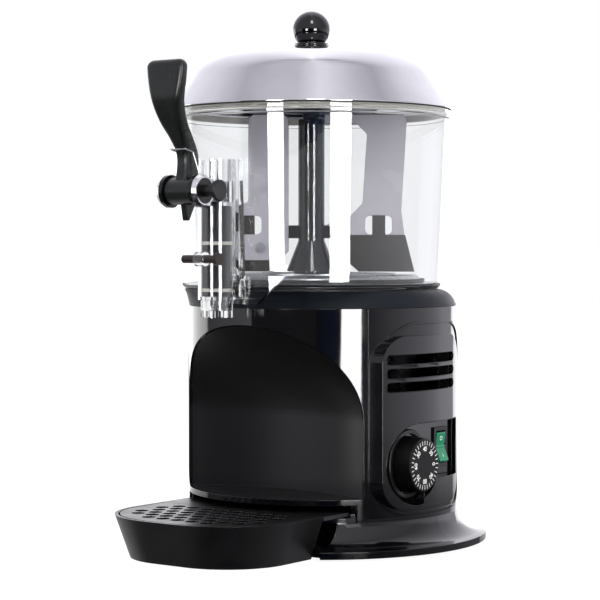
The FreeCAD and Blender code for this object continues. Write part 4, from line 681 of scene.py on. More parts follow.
def carried(name: str, path: np.ndarray, radius: float, sides: int = 12) -> Piece:
    """Carries a circle along a path: each ring stands square to the mean direction at its point.

    Args:
        name: The piece's name.
        path: Points in millimetres.
        radius: The circle's radius.
        sides: Points on the circle.

    Returns:
        The tube, its ends closed to a point.
    """
    ahead = np.gradient(path, axis=0)
    ahead /= np.linalg.norm(ahead, axis=1)[:, None]
    across = np.cross(ahead, (0.13, 0.17, 0.98))
    across /= np.linalg.norm(across, axis=1)[:, None]
    up = np.cross(ahead, across)
    angles = np.linspace(0, math.tau, sides, endpoint=False)
    ring = (across[:, None] * np.cos(angles)[None, :, None]
            + up[:, None] * np.sin(angles)[None, :, None])
    reach = np.full(len(path), radius)
    reach[[0, -1]] = 0
    return surface(name, (path[:, None] + ring * reach[:, None, None]) * MM, wraps=(False, True))


def repeated(name: str, points: np.ndarray, faces: list, places: np.ndarray) -> Piece:
    """Repeats one small shape in one mesh.

    Args:
        name: The piece's name.
        points: The shape's points in millimetres.
        faces: Its faces.
        places: For each copy, a 3 by 4 matrix in millimetres.

    Returns:
        The piece.
    """
    moved = np.einsum("nij,pj->npi", places[:, :, :3], points) + places[:, None, :, 3]
    numbers = [[corner + copy * len(points) for corner in face]
               for copy in range(len(places)) for face in faces]
    return object_of(name, moved * MM, numbers)


def copy_of(node: str, name: str, planar: float = 1) -> Piece:
    """Copies a CAD node's mesh with its triangles joined into flat faces.

    Args:
        node: The CAD node.
        name: The piece's name.
        planar: The angle in degrees up to which neighbouring faces become one.

    Returns:
        The copy.
    """
    mesh = bpy.data.objects[node].data.copy()
    mesh.name = name
    piece = bpy.data.objects.new(name, mesh)
    bpy.context.scene.collection.objects.link(piece)
    close_up(piece, planar)
    mesh.shade_smooth()
    return keep_edges(piece)


def keep_edges(piece: Piece, degrees: float = 35) -> Piece:
    """Marks edges sharper than an angle, so that smooth shading stops there.

    Args:
        piece: The object.
        degrees: The least angle of a sharp edge.

    Returns:
        The same object.
    """
    work = bmesh.new()
    work.from_mesh(piece.data)
    for edge in work.edges:
        edge.smooth = len(edge.link_faces) == 2 and edge.calc_face_angle() < math.radians(degrees)
    work.to_mesh(piece.data)
    work.free()
    return piece


def bevelled(piece: Piece, width: float, material: int = -1) -> Piece:
    """Breaks a piece's sharp edges with a live modifier.

    Args:
        piece: The object.
        width: The width of the bevel in millimetres.
        material: The material slot of the new faces, or -1 for their neighbours'.

    Returns:
        The same object.
    """
    bevel = piece.modifiers.new("bevel", "BEVEL")
    bevel.width = width * MM
    bevel.segments = 2
    bevel.limit_method = "ANGLE"
    bevel.angle_limit = math.radians(40)
    bevel.material = material
    return piece


def lettering(name: str, words: str, size: float, place: Matrix) -> Piece:
    """Makes raised figures as a mesh.

    Args:
        name: The piece's name.
        words: The figures.
        size: Their height in millimetres.
        place: Where they stand, in metres.

    Returns:
        The piece.
    """
    text = bpy.data.curves.new(name, "FONT")
    text.body = words
    text.size = size * MM
    text.extrude = 0.05 * MM
    text.offset = 0.02 * size * MM
    text.align_x = "CENTER"
    text.align_y = "CENTER"
    holder = bpy.data.objects.new(name, text)
    mesh = bpy.data.meshes.new_from_object(holder)
    bpy.data.objects.remove(holder)
    mesh.transform(place)
    piece = bpy.data.objects.new(name, mesh)
    bpy.context.scene.collection.objects.link(piece)
    close_up(piece)
    return piece


def dress(piece: Piece, *finishes: Finish) -> Piece:
    """Gives a piece its finishes, one to a material slot.

    Args:
        piece: The object.
        finishes: Its finishes.

    Returns:
        The same object.
    """
    piece.data.materials.clear()
    for finish in finishes:
        piece.data.materials.append(finish.build())
    piece.visible_shadow = not isinstance(finishes[0], Clear)
    return piece


def fit(piece: Piece, finish: Finish | tuple, slot: str, body: str, *nodes: str) -> Piece:
    """Dresses a piece, rides it on its body and lets it stand for CAD nodes.

    Args:
        piece: The object, in place.
        finish: Its finish, or one to each material slot.
        slot: The record's material slot; not used.
        body: The CAD body that carries it.
        nodes: The CAD nodes that it replaces.

    Returns:
        The same object.
    """
    dress(piece, *(finish if isinstance(finish, tuple) else (finish,)))
    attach(piece, body)
    if nodes:
        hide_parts(*nodes)
    log.info("%s: %d faces", piece.name, len(piece.data.polygons))
    return piece


# Sub-assemblies -----------------------------------------------------------------------------------


@dataclass
class Frame:
    """The CAD nodes that stay, each with the finish of its slot."""

    def build(self, frame: dict) -> None:
        """Dresses every CAD node.
        """
        slots = {part["node"]: part["material_slot"] for part in frame["record"]["subparts"]}
        for name, piece in frame["nodes"].items():
            finish = NODE_FINISHES.get(name, SLOT_FINISHES[slots[name]])
            for place in piece.material_slots:
                place.link = "OBJECT"
                place.material = finish.build()
            piece.visible_shadow = not isinstance(finish, Clear)


@dataclass
class Lid:
    """The domed lid with its seal, a black ring of painted shadow under it, and its ball knob, all
    turned.
    """

    shoulder: float = 84.5
    shoulder_height: float = 38.3
    shoulder_curve: float = 32
    crown: float = 56
    crown_height: float = 45.3
    land: float = 16
    edge_height: float = 1.3
    wall: float = 1.4
    lip: float = 6
    screw_hole: float = 2.65
    fin: float = 1.1
    knob: float = 14.5
    knob_foot: float = 13.5
    knob_neck: float = 10.4
    foot_height: float = 1.6

    def build(self) -> None:
        """Makes the lid's shell, the black ring of painted shadow under it, the milky seal and the
        knob.
        """
        (_, front, low), (rim, back, top) = extent("lid")
        self.axis = (0, (front + back) / 2, 0)
        self.shell(rim, low, top)
        self.seals(rim, low)
        self.ball(top)

    def shell(self, rim: float, low: float, top: float) -> None:
        """Spins the shell.

        Args:
            rim: Its largest radius.
            low: The height of its lower edge.
            top: The height of its top.
        """
        wall = self.wall
        outside = [(rim - self.lip, low, 0.4), (rim, low, 0.5), (rim, low + self.edge_height, 1.2),
                   (self.shoulder, low + self.shoulder_height, self.shoulder_curve),
                   (self.crown, low + self.crown_height, rim), (self.land, top, self.land),
                   (self.screw_hole, top)]
        inside = [(self.screw_hole, top - wall), (self.land, top - wall, self.land),
                  (self.crown, low + self.crown_height - wall, rim),
                  (self.shoulder - wall, low + self.shoulder_height - wall,
                   self.shoulder_curve - wall),
                  (rim - wall * 1.6, low + wall, 0.3), (rim - self.lip, low + wall, 0.4)]
        profile = rounded(outside + inside, 12)
        fit(turned("lid_shell", profile, self.axis, segments=200), CHROME, "silver", "lid", "lid")

    def seals(self, rim: float, low: float) -> None:
        """Makes the milky seal in the bowl's rim, with two fins, and a black ring under the lid
        that is painted shadow for the gap under its edge.

        Args:
            rim: The lid's radius.
            low: The height of its lower edge.
        """
        (_, _, foot), (outer, _, head) = extent("lid_seal")
        step = (head - foot) / 5
        profile = [(outer - 4, foot, 0.4), (outer, foot, 0.4), (outer, foot + step, 0.3),
                   (outer - self.fin, foot + step * 1.5, 0.2), (outer, foot + step * 2, 0.3),
                   (outer, foot + step * 3, 0.3), (outer - self.fin, foot + step * 3.5, 0.2),
                   (outer, foot + step * 4, 0.3), (outer, head, 0.2), (outer - 4, head, 0.4)]
        fit(turned("lid_seal_ring", rounded(profile, 4), self.axis, segments=200), MILKY, "clear",
            "lid", "lid_seal")
        # A black ring of painted shadow, standing in for the shade in the gap between the lid and
        # the bowl's rim.
        shadow_ring_profile = rounded([(rim - 5.6, low - 0.25, 0.1), (rim - 0.05, low - 0.25, 0.1),
                        (rim + 0.1, low + 0.1, 0.1), (rim + 0.1, low + 0.75, 0.1),
                        (rim - 5.6, low + 0.2, 0.1)], 3)
        fit(turned("lid_cord", shadow_ring_profile, self.axis, segments=200), RUBBER, "rubber", "lid")

    def ball(self, land: float) -> None:
        """Makes the knob: a foot, a short waist and a ball.

        Args:
            land: The height of the lid's top.
        """
        top = extent("lid_knob")[1][2]
        middle = top - self.knob
        start = math.asin(self.knob_neck / self.knob)
        angles = np.linspace(math.pi - start, 0, 48)
        ball = np.stack([self.knob * np.sin(angles), middle + self.knob * np.cos(angles)], axis=1)
        foot = rounded([(0, land), (self.knob_foot, land, 0.3),
                        (self.knob_foot, land + self.foot_height, 0.8),
                        (self.knob_neck + 0.5, land + self.foot_height, 0.3),
                        tuple(ball[0])], 6, closed=False)
        profile = np.vstack([foot[:-1], ball])
        fit(turned("knob_ball", profile, self.axis, segments=96), POLISHED_ABS, "gloss_black",
            "lid", "lid_knob")


@dataclass
class Bowl:
    """The clear bowl: a tapered wall with a step under its rim, a floor ring and the tap's port."""

    wall: float = 3
    floor: float = 3.5
    opening: float = 88
    curve: float = 6
    taper: float = 6.2
    step: float = 129.7
    step_height: float = 3.2
    step_reach: float = 1.6
    port: float = 8.95

    def build(self) -> None:
        """Makes the bowl and drills its port."""
        (_, front, bottom), (widest, back, top) = extent("bowl")
        axis = (0, (front + back) / 2, 0)
        rim = widest - self.step_reach
        foot = rim - self.taper
        slope = self.taper / (top - bottom)
        outside = [(self.opening, bottom, 0.5), (foot, bottom, self.curve)]
        for height, reach in ((self.step, 0), (self.step, self.step_reach),
                              (self.step + self.step_height, self.step_reach),
                              (self.step + self.step_height, 0)):
            outside.append((foot + slope * height + reach, bottom + height, 0.5))
        outside.append((rim, top, 0.6))
        inside = [(rim - self.wall, top, 0.6),
                  (foot - self.wall, bottom + self.floor, self.curve / 2),
                  (self.opening, bottom + self.floor, 0.5)]
        jar = turned("bowl_jar", rounded(outside + inside, 6), axis, segments=240)
        self.drill(jar, axis[1])
        fit(jar, POLYCARBONATE, "clear", "bowl", "bowl")

    def drill(self, jar: Piece, axis_y: float) -> None:
        """Cuts the port through the wall, where the tap's seal sits.

        Args:
            jar: The bowl.
            axis_y: How far back the bowl's axis stands.
        """
        (_, front, low), (_, _, high) = extent("port_seal")
        outline = rounded([(-self.port, -self.port, self.port * 0.999),
                           (self.port, -self.port, self.port * 0.999),
                           (self.port, self.port, self.port * 0.999),
                           (-self.port, self.port, self.port * 0.999)], 12)
        outline[:, 1] += (low + high) / 2
        tool = plate("port_tool", outline, front - 12, axis_y - self.opening, 0.1, Face.FRONT)
        cut = jar.modifiers.new("port", "BOOLEAN")
        cut.operation = "DIFFERENCE"
        cut.object = tool
        made = bpy.data.meshes.new_from_object(jar.evaluated_get(
            bpy.context.evaluated_depsgraph_get()))
        jar.modifiers.clear()
        jar.data = made
        made.name = "bowl_jar"
        bpy.data.objects.remove(tool)
        keep_edges(jar)


@dataclass
class Stirrer:
    """The two blades, with broken edges painted dark as shade."""

    edge: float = 0.55

    def build(self) -> None:
        """Makes the bevelled blades."""
        for node in ("outer_blade", "inner_blade"):
            piece = copy_of(node, f"{node}_sheet")
            largest = max(piece.data.polygons, key=lambda face: face.area)
            square = largest.normal.copy()
            for face in piece.data.polygons:
                # Faces across the sheet take the second finish, painted shade on the cut edges.
                face.material_index = int(abs(face.normal.dot(square)) < 0.7)
            fit(bevelled(piece, self.edge, 1), (SMOKE, SMOKE_EDGE_SHADE), "smoke", "stirrer", node)


@dataclass
class Lever:
    """The tap's lever: a grip that flares upwards, and its hub, toe and arm.

    Each knot of the grip is a height, the grip's width and depth there, and how far its middle
    stands from the bowl's axis.
    """

    knots: tuple = ((268, 11.2, 15.4, -152), (296, 11.2, 15.4, -152), (304, 14, 14, -157.4),
                    (312.6, 18.4, 12, -164.2), (328, 25, 10, -171.4), (344, 31.4, 9, -172.6),
                    (352.5, 33.4, 8.4, -172.6))
    top: float = 358
    squareness: float = 4.5
    hub: float = 9.8
    toe_front: float = 4
    toe_tip: float = 2
    toe_back: float = 14
    toe_half: float = 2.5
    arm_half: float = 3
    arm_height: float = 2.5
    arm_reach: float = 34
    pin: float = 3.06

    def build(self) -> None:
        """Makes the lever's pieces, all in one finish."""
        self.pivot = extent("pivot_caps").mean(axis=0)[1:]
        self.axis_y = extent("bowl").mean(axis=0)[1]
        fit(self.grip(), NYLON, "satin_black", "lever", "lever")
        for piece in (self.barrel(), self.toe(), self.arm()):
            fit(piece, NYLON, "satin_black", "lever")

    def grip(self) -> Piece:
        """Makes the grip: rounded rectangles, x = w/2 cos^k t, y = d/2 sin^k t, up a smooth curve.

        Returns:
            The piece.
        """
        rows = eased(np.array(self.knots, float), 72)
        last = rows[-1]
        rise = self.top - last[0]
        angles = np.radians(np.linspace(12, 90, 9))
        cap = np.stack([last[0] + rise * np.sin(angles),
                        last[1] - 2 * rise * (1 - np.cos(angles)),
                        last[2] * np.cos(angles), np.full(len(angles), last[3])], axis=1)
        rows = np.vstack([rows, cap])
        rows = np.vstack([rows[:1] * (1, 0, 0, 1), rows])
        turn = np.linspace(0, math.tau, 64, endpoint=False)
        power = 2 / self.squareness
        shape = np.stack([np.sign(np.cos(turn)) * np.abs(np.cos(turn)) ** power,
                          np.sign(np.sin(turn)) * np.abs(np.sin(turn)) ** power], axis=1)
        grid = np.empty((len(rows), len(turn), 3))
        grid[..., 0] = rows[:, 1:2] / 2 * shape[:, 0]
        grid[..., 1] = rows[:, 2:3] / 2 * shape[:, 1] + rows[:, 3:4] + self.axis_y
        grid[..., 2] = rows[:, :1]
        return surface("lever_grip", grid * MM, wraps=(False, True))

    def barrel(self) -> Piece:
        """Turns the hub with its hole."""
        half = extent("pivot_rings")[1][0] - 6.5
        profile = rounded([(self.pin, -half), (self.hub, -half, 1), (self.hub, half, 1),
                           (self.pin, half)], 6)
        return turned("lever_hub", profile, (0, *self.pivot), Spin.SIDEWAYS, 96)

    def toe(self) -> Piece:
        """Extrudes the toe below the hub."""
        y, z = self.pivot
        bottom = extent("lever")[0][2]
        outline = rounded([(y - self.toe_front, z), (y, bottom, 0.6),
                           (y + self.toe_tip, bottom, 0.6), (y + self.toe_back, z)], 4)
        return plate("lever_toe", outline, -self.toe_half, self.toe_half, 0.5, Face.SIDE)

    def arm(self) -> Piece:
        """Extrudes the arm whose round end lifts the piston."""
        y, z = self.pivot
        tip = y + self.arm_reach + self.arm_height
        low, high = z - self.arm_height, z + self.arm_height
        round_end = self.arm_height * 0.999
        outline = rounded([(y + self.hub - 1, low), (tip, low, round_end), (tip, high, round_end),
                           (y + self.hub - 1, high)], 8)
        return plate("lever_arm", outline, -self.arm_half, self.arm_half, 0.5, Face.SIDE)


@dataclass
class Controls:
    """The dial with its printed face, and the marks on the rocker."""

    numbers: tuple = (0, 30, 40, 50, 60, 70, 80, 90)
    ticks: int = 32
    tick: tuple = (3.2, 0.55, 0.1)
    tick_radius: float = 16.5
    number_radius: float = 11.9
    number_size: float = 4.9
    skirt: float = 21
    face: float = 19.8
    edge: float = 1.4
    bore: float = 3.15
    bore_end: float = 4.8
    mark_outer: float = 1.75
    mark_wire: float = 0.33
    ring_height: float = 0.58
    bar: tuple = (0.42, 0.72)
    dip: float = 0.8
    slopes: tuple = (1.5, 4.5)
    proud: float = 0.1

    def build(self) -> None:
        """Makes the dial, its print and the rocker's marks."""
        (low, front, bottom), (high, back, top) = extent("thermostat_dial")
        self.centre = ((front + back) / 2, (bottom + top) / 2)
        self.face_x = high
        profile = rounded([
            (self.bore, low), (self.skirt, low, 0.8), (self.face, high, self.edge), (0, high),
            (0, high - self.bore_end), (self.bore, high - self.bore_end)], 8)
        dial = turned("dial_knob", profile, (0, *self.centre), Spin.SIDEWAYS, 128)
        fit(dial, MATT_ABS, "satin_black", "dial", "thermostat_dial")
        self.print_ticks()
        self.print_numbers()
        self.print_rocker()

    def on_face(self, angle: float, radius: float, turn: float) -> np.ndarray:
        """Places something on the dial's face, facing outwards.

        Args:
            angle: Its angle round the face in radians, from the back towards the top.
            radius: Its distance from the centre in millimetres.
            turn: How far it is turned, in radians.

        Returns:
            A 3 by 4 matrix in millimetres.
        """
        sine, cosine = math.sin(turn), math.cos(turn)
        return np.array([(0, 0, 1, self.face_x),
                         (cosine, -sine, 0, self.centre[0] + radius * math.cos(angle)),
                         (sine, cosine, 0, self.centre[1] + radius * math.sin(angle))])

    def print_ticks(self) -> None:
        """Prints the ticks: one thin block, repeated round the face."""
        length, width, height = (size / 2 for size in self.tick)
        corners = np.array([(x, y, z) for x in (-length, length) for y in (-width, width)
                            for z in (-height, height)])
        faces = [[0, 1, 3, 2], [4, 6, 7, 5], [0, 4, 5, 1], [2, 3, 7, 6], [0, 2, 6, 4], [1, 5, 7, 3]]
        angles = np.linspace(0, math.tau, self.ticks, endpoint=False)
        places = np.array([self.on_face(angle, self.tick_radius, angle) for angle in angles])
        piece = repeated("dial_ticks", corners, faces, places)
        piece.data.shade_flat()
        fit(piece, MARKING, "silver", "dial")

    def print_numbers(self) -> None:
        """Prints the numbers, each with its head outwards."""
        for index, number in enumerate(self.numbers):
            angle = math.tau * index / len(self.numbers)
            place = self.on_face(angle, self.number_radius, angle - math.pi / 2)
            place[:, 3] *= MM
            name = f"dial_number_{number}"
            fit(lettering(name, str(number), self.number_size, Matrix(np.vstack([
                place, (0, 0, 0, 1)]).tolist())), MARKING, "silver", "dial")

    def print_rocker(self) -> None:
        """Prints a ring on the rocker's upper half and a bar on its lower half."""
        (_, front, bottom), (_, back, top) = extent("rocker")
        half = (top - bottom) / 2
        middle = ((front + back) / 2, (bottom + top) / 2)
        dip = extent("switch_body")[1][0] - self.dip
        angles = np.linspace(0, math.tau, 41)
        radius = self.mark_outer - self.mark_wire
        upper = half * self.ring_height
        height = radius * np.sin(angles) + upper
        ring = np.stack([dip + height / half * self.slopes[0] + self.proud,
                         middle[0] + radius * np.cos(angles), middle[1] + height], axis=1)
        fit(carried("rocker_ring", ring, self.mark_wire, 8), MARKING, "silver", "rocker")
        drop = half * np.linspace(*self.bar, 8)
        bar = np.stack([dip + drop / half * self.slopes[1] + self.proud,
                        np.full(len(drop), middle[0]), middle[1] - drop], axis=1)
        fit(carried("rocker_bar", bar, self.mark_wire, 8), MARKING, "silver", "rocker")


@dataclass
class Edges:
    """The beads along the cut edges of both side covers: round each air slot and the recess."""

    pod: tuple = (134, -27, 28)
    body: tuple = (104, 0, 36)
    bead: float = 0.35
    sunk: float = 0.3
    step: float = 1.5
    slot_front: float = -21.3
    slot_back: float = 65
    slot_bottom: float = 119.5
    slot_height: float = 7.5
    slot_pitch: float = 10.1
    slot_chamfer: float = 2.6
    slots: int = 3
    recess_bottom: float = 52.5
    recess_top: float = 96
    recess_back: float = 73
    recess_radius: float = 30.5
    recess_step: float = 7
    bezel_room: float = 22

    def build(self) -> None:
        """Makes the beads of both covers and of the recess."""
        for side, name in ((1, "right"), (-1, "left")):
            for index in range(self.slots):
                low = self.slot_bottom + self.slot_pitch * index
                high = low + self.slot_height
                step = self.slot_chamfer
                front, back = self.slot_front, self.slot_back
                self.bead_along(f"slot_edge_{name}_{index}", [
                    (front, low + step), (front + step, low), (back - step, low),
                    (back, low + step), (back, high - step), (back - step, high),
                    (front + step, high), (front, high - step)], side)
        _, y, z = extent("thermostat_dial").mean(axis=0)
        last = -math.acos(self.recess_step / self.recess_radius)
        around = [(y + self.recess_radius * math.cos(a), z + self.recess_radius * math.sin(a))
                  for a in np.linspace(math.pi / 2, math.tau + last, 40)]
        start = -math.acos(self.recess_step / self.bezel_room)
        end = math.asin((self.recess_bottom - z) / self.bezel_room)
        room = [(y + self.bezel_room * math.cos(a), z + self.bezel_room * math.sin(a))
                for a in np.linspace(start, end, 8)]
        self.bead_along("recess_edge", [
            *around, *room, (self.recess_back, self.recess_bottom),
            (self.recess_back, self.recess_top)], 1)

    def bead_along(self, name: str, corners: Sequence[tuple], side: int) -> None:
        """Lays one bead along an outline on a cover's round face.

        Args:
            name: The bead's name.
            corners: The outline as distances back and up, in millimetres.
            side: 1 for the right cover's pod and -1 for the plain left cover.
        """
        outline = np.array([*corners, corners[0]], float)
        length = np.concatenate([[0], np.cumsum(np.linalg.norm(np.diff(outline, axis=0), axis=1))])
        steps = np.linspace(0, length[-1], int(length[-1] / self.step))
        place = np.unique(np.concatenate([length, steps]))
        back, up = (np.interp(place, length, outline[:, column]) for column in (0, 1))
        radius, axis_x, axis_y = self.pod if side > 0 else self.body
        out = np.sqrt(radius ** 2 - (back - axis_y) ** 2) + axis_x
        path = np.stack([side * (out - self.bead * self.sunk), back, up], axis=1)
        fit(carried(name, path, self.bead, 8), POLISHED_ABS, "gloss_black", "machine")


@dataclass
class Tray:
    """The rounded lips of the grid's holes."""

    pitch: float = 13.5
    hole: float = 5.6
    corner_radius: float = 1.6
    lip: float = 0.75
    swell: float = 0.35
    offset: float = 0.2
    depth: float = 0.62
    rise: float = 0.6
    rim: float = 7
    corner: float = 60
    margin: float = 3.95

    def places(self) -> np.ndarray:
        """Works out the centres of the grid's holes: staggered rows within the rounded front.

        Returns:
            One row to a hole, in millimetres.
        """
        (left, front, _), (right, back, _) = extent("drip_grid")
        room = self.rim + self.hole
        half_width = (right - left) / 2 - room
        corner = self.corner - self.margin - room
        row_step = self.pitch * math.sqrt(3) / 2
        last = back - room
        centres = []
        for row in range(int((last - front - room) / row_step) + 1):
            y = last - row * row_step
            depth = max(0.0, front + room + corner - y)
            half = half_width - corner + math.sqrt(corner ** 2 - depth ** 2)
            shift = 0 if row % 2 else 0.5
            columns = np.arange(-int(half / self.pitch + shift), int(half / self.pitch - shift) + 1)
            centres.append(np.stack([(columns + shift) * self.pitch,
                                     np.full(len(columns), y)], axis=1))
        return np.concatenate(centres)

    def build(self) -> None:
        """Makes the lips: a small round bead carried round each hexagonal hole."""
        top = extent("drip_grid")[1][2]
        corners = [(self.hole * math.cos(a), self.hole * math.sin(a), self.corner_radius)
                   for a in np.radians(np.arange(0, 360, 60))]
        outline = rounded(corners, 3)
        angles = np.linspace(0, math.tau, 8, endpoint=False)
        grid = np.empty((len(angles), len(outline), 3))
        for row, angle in enumerate(angles):
            out = self.swell * math.cos(angle) + self.offset
            grid[row, :, :2] = inset(outline, -self.lip * out)
            grid[row, :, 2] = top - self.lip * (self.depth - self.rise * math.sin(angle))
        centres = self.places()
        places = np.zeros((len(centres), 3, 4))
        places[:, :, :3] = np.eye(3)
        places[:, :2, 3] = centres
        piece = repeated("grid_lips", grid.reshape(-1, 3),
                         quads(*grid.shape[:2], (True, True)), places)
        fit(piece, POLISHED_ABS, "gloss_black", "grid")


# Stage --------------------------------------------------------------------------------------------


@dataclass(frozen=True)
class Patch:
    """A patch of light in the studio.

    Attributes:
        turn: The azimuth of its middle, in degrees.
        half_width: Half its width in degrees.
        level: The elevation of its middle, in degrees.
        half_height: Half its height in degrees.
        brightness: Its brightness.
    """

    turn: float
    half_width: float
    level: float
    half_height: float
    brightness: float


@dataclass(frozen=True)
class Card:
    """A dim card that stands before the machine.

    Attributes:
        turn: Its azimuth in degrees.
        distance: Its distance from the bowl's axis in millimetres.
        width: Its width in millimetres.
        height: Its height in millimetres.
        brightness: Its brightness.
    """

    turn: float = 6.6
    distance: float = 330
    width: float = 320
    height: float = 186
    brightness: float = 0.1


@dataclass
class Studio:
    """A white sweep, large soft lamps, what the gloss reflects, and the camera.

    The world shows white wherever it is seen directly. Gloss and glass reflect a studio: dark in
    front, where the room is unlit, pale behind and above, with two tall strips of light and a small
    window overhead. Each place is an azimuth in degrees from the front towards the right side.
    """

    azimuth: float = 36.0
    distance: float = 1542.0
    eye: float = 225.5
    focal_pixels: float = 1990.0
    frame_pixels: float = 600.0
    axis_pixel: float = 311.4
    horizon_pixel: float = 248.0
    room_brightness: float = 3.0
    room: tuple = ((-180, "#ffffff"), (-82, "#ffffff"), (-80, "#5a5a5c"), (-62, "#7c7c7f"),
                   (-27, "#a2a1a6"), (-20, "#24252a"), (-4, "#15171c"), (30, "#15171c"),
                   (44, "#1e2c4c"), (48, "#1c2130"), (70, "#45464d"), (96, "#86868c"),
                   (116, "#a09fa6"), (158, "#bab9c0"), (170, "#a3a2a9"), (178.5, "#8e8d94"))
    ceiling: tuple = ((-180, "#a9a8ae"), (-144, "#bcbbc0"), (-113, "#a4a3a8"), (-80, "#949398"),
                      (-53, "#7b7a7f"), (-24, "#848388"), (13, "#87868b"), (48, "#9f9ea3"),
                      (62, "#9c9ba0"), (93, "#8c8b90"), (123, "#78777c"), (150, "#98979c"),
                      (178, "#a9a8ae"))
    ceiling_start: float = 2.0
    ceiling_full: float = 12.0
    table_start: float = -5.2
    table_full: float = -7.4
    table_share: float = 0.22
    patches: tuple = (Patch(60.0, 8.6, -1.05, 5.55, 24.0), Patch(6.6, 6.6, -1.05, 5.55, 24.0),
                      Patch(40.0, 8.0, 46.0, 9.0, 12.0))
    flag: Card = Card()
    ambient: float = 0.5
    floor_half: float = 6.0
    paper_share: float = 0.22
    paper_glow: float = 0.93
    sensor: float = 36.0
    aim: float = 0.2
    lamps: list[tuple] = field(default_factory=lambda: [
        ("key", (-1.1, -1.3, 1.4), (0.9, 0.9), 22),
        ("fill", (1.5, -0.9, 0.9), (0.5, 1.3), 12),
        ("top", (0.0, 0.2, 1.9), (1.2, 1.2), 12),
        ("back", (0.9, 1.4, 0.9), (0.8, 1.4), 10),
    ])

    def build(self) -> None:
        """Sets the floor, the world, the lamps and the camera."""
        self.floor()
        self.card()
        self.world()
        for name, place, size, power in self.lamps:
            self.lamp(name, place, size, power)
        self.camera()
        bpy.context.scene.view_settings.view_transform = "Standard"

    def floor(self) -> None:
        """Makes the plain white floor, a little brighter to the camera than its light makes it."""
        half = self.floor_half
        corners = np.array([(-half, -half, 0), (half, -half, 0), (half, half, 0), (-half, half, 0)])
        floor = object_of("floor", corners, [[0, 1, 2, 3]], smooth=False)
        floor.visible_glossy = False
        material = bpy.data.materials.new("paper sweep white")
        tree = cleared(material)
        paper = add_node(tree, "ShaderNodeBsdfDiffuse", {"Color": linear("#f4f4f4")})
        glow = add_node(tree, "ShaderNodeEmission", {
            "Color": (1, 1, 1, 1), "Strength": self.paper_glow})
        seen = add_node(tree, "ShaderNodeLightPath")
        either = reckon(tree, "MAXIMUM", seen.outputs["Is Camera Ray"],
                        seen.outputs["Is Transmission Ray"])
        both = add_node(tree, "ShaderNodeAddShader", {
            0: self.mixed(tree, self.paper_share, None, paper.outputs[0]), 1: glow.outputs[0]})
        shown = self.mixed(tree, either, paper.outputs[0], both.outputs[0])
        add_node(tree, "ShaderNodeOutputMaterial", {"Surface": shown})
        floor.data.materials.append(material)

    def card(self) -> None:
        """Stands a dim card before the machine, so that its body doesn't reflect the left strip."""
        azimuth, height = math.radians(self.flag.turn), self.flag.height
        outwards = np.array([math.sin(azimuth), -math.cos(azimuth)]) * self.flag.distance
        across = np.array([math.cos(azimuth), math.sin(azimuth)]) * self.flag.width / 2
        outwards[1] += extent("bowl").mean(axis=0)[1]
        ends = (outwards - across, outwards + across)
        corners = np.array([(*ends[0], 0), (*ends[1], 0), (*ends[1], height), (*ends[0], height)])
        card = object_of("dim_card", corners * MM, [[0, 1, 2, 3]], smooth=False)
        for ray in ("camera", "diffuse", "transmission", "shadow"):
            setattr(card, f"visible_{ray}", False)
        material = bpy.data.materials.new("card grey")
        tree = cleared(material)
        glow = add_node(tree, "ShaderNodeEmission", {
            "Color": linear("#f4f4ff"), "Strength": self.flag.brightness})
        add_node(tree, "ShaderNodeOutputMaterial", {"Surface": glow.outputs[0]})
        card.data.materials.append(material)

    def mixed(self, tree: Tree, share: object, first: object, second: object) -> Socket:
        """Mixes two shaders.

        Args:
            tree: The tree.
            share: The second shader's share, a number or a socket.
            first: The first shader's socket, or None for black.
            second: The second shader's socket.

        Returns:
            The mixed shader's socket.
        """
        inputs = {0: share, 2: second}
        if first is not None:
            inputs[1] = first
        return add_node(tree, "ShaderNodeMixShader", inputs).outputs[0]

    def world(self) -> None:
        """Makes the world, with separate lights for what is seen, for reflections and the rest."""
        world = bpy.data.worlds.new("studio")
        bpy.context.scene.world = world
        tree = cleared(world)
        seen = add_node(tree, "ShaderNodeLightPath")
        room, strips = self.reflected(tree)
        lit = add_node(tree, "ShaderNodeVectorMath", {0: room, 1: strips}, operation="ADD")
        capped = add_node(tree, "ShaderNodeVectorMath", {0: room, 1: (1, 1, 1)},
                          operation="MINIMUM")
        through = add_node(tree, "ShaderNodeVectorMath", {0: capped.outputs[0], 1: strips},
                           operation="ADD")
        even, gloss, glass, white = (
            add_node(tree, "ShaderNodeBackground", {"Color": hue, "Strength": strength}).outputs[0]
            for hue, strength in (((1, 1, 1, 1), self.ambient), (lit.outputs[0], 1),
                                  (through.outputs[0], 1), ((1, 1, 1, 1), 1)))
        shown = self.mixed(tree, seen.outputs["Is Glossy Ray"], even, gloss)
        shown = self.mixed(tree, seen.outputs["Is Transmission Ray"], shown, glass)
        shown = self.mixed(tree, seen.outputs["Is Camera Ray"], shown, white)
        add_node(tree, "ShaderNodeOutputWorld", {"Surface": shown})

